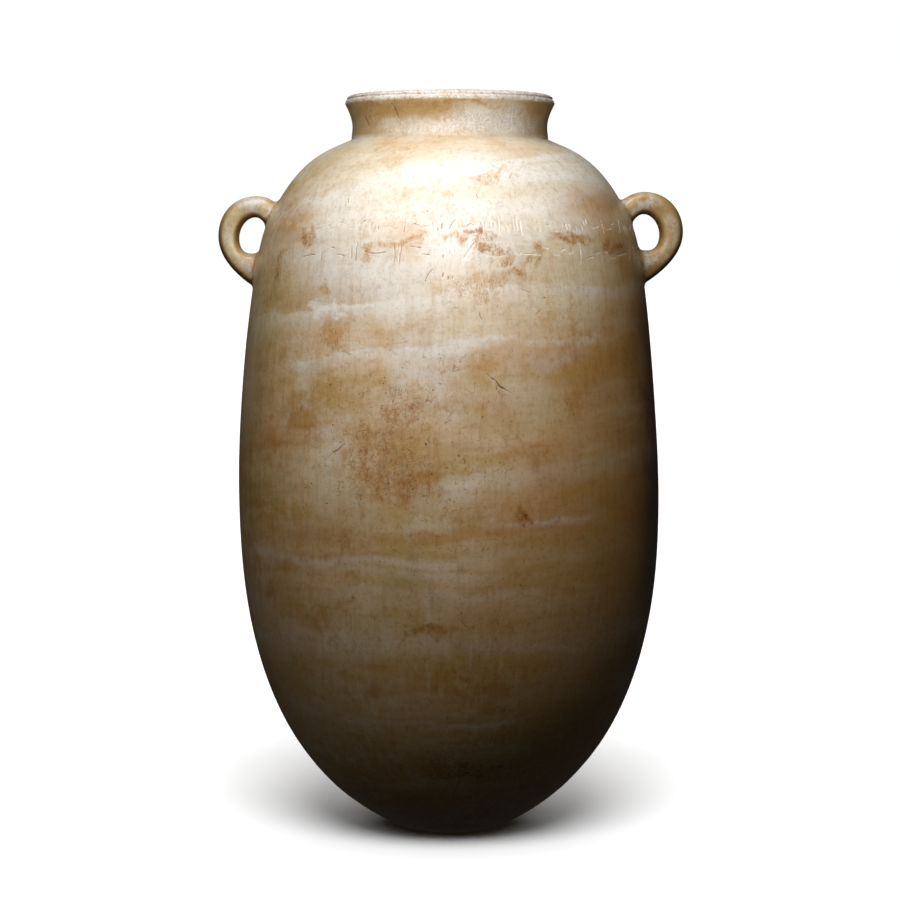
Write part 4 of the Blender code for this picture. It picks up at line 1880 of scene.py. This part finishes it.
@dataclass(frozen=True)
class HandleTones:
    """The handles: tan, whitish and speckled, with painted shade in dark amber where their faces turn
    sideways and down.
    """

    patches: Noise = Noise(70.0, 4.0, 0.70)
    right: Step = Step(-0.05, 0.05)
    tan: Slope = Slope(0.56, 0.30)
    tan_patches: Step = Step(0.70, 0.40)
    roots: Step = Step(0.176, 0.158, 0.70)
    white_patches: Step = Step(0.44, 0.62)
    least_white: float = 0.20
    worn: Patch = Patch((-0.164, 0.0, 0.517), (0.024, 0.040, 0.0110), 0.40)
    worn_share: float = 0.85
    specks: float = 330.0
    speck: Step = Step(0.28, 0.16, 0.85)
    speck_patches: Mottle = Mottle(Noise(90.0, 3.0), Step(0.42, 0.52))
    # Patches and steps of the painted shade on the handles' sides.
    flank_patches: Step = Step(0.10, 0.50)
    shaded_flank: Step = Step(0.02, 0.50, 0.90)
    deepest_shaded_flank: Step = Step(0.35, 1.00, 0.80)

    def dress(self, bench: StoneBench) -> None:
        """Tone the handles.

        Args:
            bench: The stone's bench.
        """
        bar = bench.attribute("bar")
        patchy = bench.cloud(self.patches)
        tan = bench.line(bench.window(bench.x, self.right), *self.tan)
        bench.coat(Tone.RESIN, tan, bench.window(patchy, self.tan_patches), bar)
        white = bench.most(bench.aside(self.roots), self.least_white)
        bench.coat(Tone.PEARL, bench.window(patchy, self.white_patches), white, bar)
        bench.coat(Tone.FROST, bench.patch(bench.crooked, self.worn), bar, self.worn_share)
        speck = bench.window(bench.cells(bench.crooked, self.specks), self.speck)
        bench.coat(Tone.BARK, speck, bench.mottle(self.speck_patches), bar)
        # Painted shade: amber, then umber, where the handles' faces turn sideways and down.
        shaded_flank = bench.times(bench.attribute("shaded_flank"), bench.window(patchy, self.flank_patches))
        bench.coat(Tone.RESIN, bench.window(shaded_flank, self.shaded_flank))
        bench.coat(Tone.UMBER, bench.window(shaded_flank, self.deepest_shaded_flank))


@dataclass(frozen=True)
class Grain:
    """The fine mottle of the stone, the fine lines of its polishing, and dust in its pores."""

    tones: tuple[tuple[float, Tone], ...] = ((0.38, Tone.GRIT), (0.46, Tone.DUST), (0.60, Tone.CLEAN))
    layers: tuple[tuple[Noise, float], ...] = (
        (Noise(170.0, 6.0, 0.86), 0.46),
        (Noise(260.0, 4.0, 0.75, (1.0, 1.0, 0.12)), 0.26),
        (Noise(240.0, 4.0, 0.70, (0.15, 0.15, 1.0)), 0.14),
    )
    pores: Mottle = Mottle(Noise(420.0, 2.0, 0.60, (1.0, 1.0, 0.6)), Step(0.40, 0.32, 0.40))

    def dress(self, bench: StoneBench) -> None:
        """Grain the colour.

        Args:
            bench: The stone's bench.
        """
        for layer, share in self.layers:
            bench.coat(bench.ramp(bench.cloud(layer), self.tones), share, kind="MULTIPLY")
        bench.coat(Tone.TEA, bench.mottle(self.pores), kind="MULTIPLY")


@dataclass(frozen=True)
class Polish:
    """The worn polish: its shine, its faint unevenness, and the grain of the frosted stone."""

    roughness: float = 0.28
    dullness: Noise = Noise(30.0, 4.0, 0.55, (1.0, 1.0, 0.4))
    dull_share: float = 0.14
    film_share: float = 0.08
    frost_share: float = 0.22
    inside_share: float = 0.35
    uneven: Noise = Noise(70.0, 3.0, 0.60)
    grain: Noise = Noise(480.0, 3.0, 0.65)
    neck: Step = Step(0.5640, 0.5680)
    sugary: Slope = Slope(0.45, 0.30)
    strength: float = 0.30
    depth: float = 0.0006

    def roughen(self, bench: StoneBench, inside: Value) -> Socket:
        """Work out how rough the stone is.

        Args:
            bench: The stone's bench.
            inside: Whether the place is in the hollow.

        Returns:
            The roughness.
        """
        rough = bench.line(bench.cloud(self.dullness), self.dull_share, self.roughness)
        rough = bench.line(bench.film, self.film_share, rough)
        rough = bench.line(bench.frost, self.frost_share, rough)
        return bench.line(inside, self.inside_share, rough, clamp=True)

    def relief(self, bench: StoneBench) -> Socket:
        """Make the fine relief.

        Args:
            bench: The stone's bench.

        Returns:
            The relief, for the shader's normal.
        """
        grain = bench.line(bench.window(bench.z, self.neck), *self.sugary)
        height = bench.line(bench.cloud(self.grain), grain, bench.cloud(self.uneven))
        return bench.put("ShaderNodeBump", {"Strength": self.strength, "Distance": self.depth,
                                            "Height": height})["Normal"]


@dataclass(frozen=True)
class BandedTravertine:
    """Polished honey travertine with pale layers, brown stains and cut marks."""

    polish: Polish = Polish()
    inside_share: float = 0.75
    ior: float = 1.5
    glow: float = 0.15
    glow_radius: Triple = (1.0, 0.6, 0.3)
    glow_scale: float = 0.005

    def material(self) -> bpy.types.Material:
        """Make the stone.

        Returns:
            The material, which reads Object coordinates and the mesh's marks.
        """
        stone = bpy.data.materials.new("banded_travertine")
        stone.use_nodes = True
        bench = StoneBench(stone.node_tree)
        for finish in (Ground(), Bands(), Tints(), PaleLayers(), Film(), Stains(), Cracks(), NeckFrost(),
                       MarkTones(), ShadedSides(), HandleTones(), Grain()):
            finish.dress(bench)
        inside = bench.attribute("inside")
        bench.coat(Tone.PEACH, inside, self.inside_share)
        bench.feed(stone.node_tree.nodes["Principled BSDF"], {
            "Base Color": bench.colour,
            "Roughness": self.polish.roughen(bench, inside),
            "Subsurface Weight": self.glow,
            "Subsurface Radius": self.glow_radius,
            "Subsurface Scale": self.glow_scale,
            "IOR": self.ior,
            "Normal": self.polish.relief(bench),
        })
        return stone


# --------------------------------------------------------------------------- the studio


class Lit(Enum):
    """What a lamp lights."""

    JAR = "jar"
    FLOOR = "floor"


class Sun(NamedTuple):
    """A soft sun for the floor: its strength, its tilt from the upright and its spread."""

    name: str
    energy: float
    tilt: float
    spread: float


class SoftBox(NamedTuple):
    """A soft rectangular light: where it hangs, where it points, its width and height, its watts.

    A glossy one shows in the polish.
    """

    name: str
    place: Triple
    aim: Triple
    size: Span
    power: float
    glossy: bool = True
    lit: Lit = Lit.JAR


@dataclass(frozen=True)
class PaleFloor:
    """The floor's finish, pale and dull."""

    tone: Triple = (0.95, 0.95, 0.95)
    roughness: float = 1.0
    shine: float = 0.0

    def material(self) -> bpy.types.Material:
        """Make the finish.

        Returns:
            The material.
        """
        pale = bpy.data.materials.new("pale_floor")
        pale.use_nodes = True
        NodeBench(pale.node_tree).feed(pale.node_tree.nodes["Principled BSDF"], {
            "Base Color": (*self.tone, 1.0), "Roughness": self.roughness, "Specular IOR Level": self.shine})
        return pale


@dataclass
class Studio:
    """A pale floor, soft lights above, in front of and behind the jar, and the camera."""

    jar: bpy.types.Object
    floor_size: float = 40.0
    suns: tuple[Sun, ...] = (Sun("floor_soft", 2.20, 20.0, 90.0), Sun("floor_firm", 2.60, 40.0, 30.0))
    boxes: tuple[SoftBox, ...] = (
        SoftBox("key", (0.0, -0.45, 0.66), (0.0, -0.10, 0.40), (0.20, 0.20), 0.84),
        SoftBox("wide_key", (0.03, -0.42, 0.62), (0.0, -0.10, 0.40), (0.40, 0.20), 0.54),
        SoftBox("left_key", (-0.35, -0.60, 0.80), (0.0, -0.05, 0.40), (0.35, 0.35), 0.85),
        SoftBox("top", (0.0, -0.15, 1.25), (0.0, 0.0, 0.50), (0.50, 0.50), 3.3),
        SoftBox("left_top", (-0.25, -0.20, 1.15), (0.0, 0.0, 0.50), (0.40, 0.40), 1.1),
        SoftBox("left_fill", (-0.60, -0.75, 0.55), (0.0, 0.0, 0.30), (0.40, 0.60), 0.37, glossy=False),
        SoftBox("back_fill", (0.0, 2.20, 0.56), (0.0, 0.0, 0.30), (0.28, 0.90), 14.0, glossy=False),
        SoftBox("floor_back_fill", (0.0, 0.55, 0.30), (0.0, 0.07, 0.0), (0.16, 0.16), 0.30, glossy=False,
                lit=Lit.FLOOR),
    )
    surroundings_seen: float = 1.0
    surroundings_light: float = 0.020
    camera_distance: float = 2.04
    camera_height: float = 0.468
    aim_height: float = 0.3116
    lens: float = 99.74
    sensor_width: float = 36.0

    def set_up(self) -> None:
        """Put the floor, the lights, the surroundings and the camera in the scene."""
        things = {Lit.JAR: self.jar, Lit.FLOOR: self.floor()}
        for sun in self.suns:
            light = bpy.data.lights.new(sun.name, "SUN")
            light.energy = sun.energy
            light.angle = math.radians(sun.spread)
            self.hang(light, things[Lit.FLOOR]).rotation_euler = (math.radians(sun.tilt), 0.0, 0.0)
        for box in self.boxes:
            self.hang_box(box, things[box.lit])
        self.surroundings()
        self.camera()

    def floor(self) -> bpy.types.Object:
        """Lay a wide pale floor at the foot of the jar.

        Returns:
            The floor.
        """
        shape = bmesh.new()
        bmesh.ops.create_grid(shape, x_segments=1, y_segments=1, size=self.floor_size)
        floor = placed("floor", shape)
        floor.data.materials.append(PaleFloor().material())
        floor.visible_diffuse = False
        floor.visible_glossy = False
        return floor

    @staticmethod
    def hang(light: bpy.types.Light, target: bpy.types.Object) -> bpy.types.Object:
        """Put a light in the scene that falls on one object only.

        Args:
            light: The light.
            target: What it falls on.

        Returns:
            The light's object.
        """
        item = bpy.data.objects.new(light.name, light)
        bpy.context.scene.collection.objects.link(item)
        lit = bpy.data.collections.new(f"{light.name}_on_{target.name}")
        lit.objects.link(target)
        item.light_linking.receiver_collection = lit
        return item

    def hang_box(self, box: SoftBox, target: bpy.types.Object) -> None:
        """Hang one soft rectangular light.

        Args:
            box: The light.
            target: What it lights.
        """
        light = bpy.data.lights.new(box.name, "AREA")
        light.shape = "RECTANGLE"
        light.size, light.size_y = box.size
        light.energy = box.power
        item = self.hang(light, target)
        item.location = box.place
        item.rotation_euler = self.turned_to(Vector(box.aim) - Vector(box.place))
        item.visible_glossy = box.glossy
        item.visible_camera = False

    @staticmethod
    def turned_to(way: Vector) -> Euler:
        """The turn of a light or camera that looks along a way."""
        return way.to_track_quat("-Z", "Y").to_euler()

    def surroundings(self) -> None:
        """White surroundings that give only a little light of their own."""
        world = bpy.data.worlds.new("studio")
        world.use_nodes = True
        bench = NodeBench(world.node_tree)
        seen = bench.put("ShaderNodeLightPath", {})["Is Camera Ray"]
        strength = bench.line(seen, self.surroundings_seen, self.surroundings_light)
        bench.feed(world.node_tree.nodes["Background"], {"Color": Tone.CLEAN, "Strength": strength})
        bpy.context.scene.world = world

    def camera(self) -> None:
        """The camera, a little below the rim and straight in front."""
        lens = bpy.data.cameras.new("camera")
        lens.lens = self.lens
        lens.sensor_width = self.sensor_width
        lens.dof.use_dof = False
        item = bpy.data.objects.new("camera", lens)
        item.location = (0.0, -self.camera_distance, self.camera_height)
        item.rotation_euler = self.turned_to(Vector((0.0, 0.0, self.aim_height)) - item.location)
        bpy.context.scene.collection.objects.link(item)
        bpy.context.scene.camera = item


def main() -> None:
    """Build the jar around its frame, dress it and set up the studio."""
    logging.basicConfig(level=logging.INFO, format="%(name)s: %(message)s")
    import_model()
    bpy.context.scene.view_settings.view_transform = "Standard"
    low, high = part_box(NODE)
    maker = Alabastron()
    if abs(high.z - low.z - maker.form.height) > HEIGHT_SLACK:
        raise ValueError(f"the form is {maker.form.height} m high and its node {high.z - low.z} m")
    jar = maker.build()
    jar.data.materials.clear()
    jar.data.materials.append(BandedTravertine().material())
    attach(jar, BODY)
    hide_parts(NODE)
    LOG.info("%s: %d faces, solid %.1f mm high", jar.name, len(jar.data.polygons), 1000.0 * (high.z - low.z))
    Studio(jar).set_up()


if __name__ == "__main__":
    main()
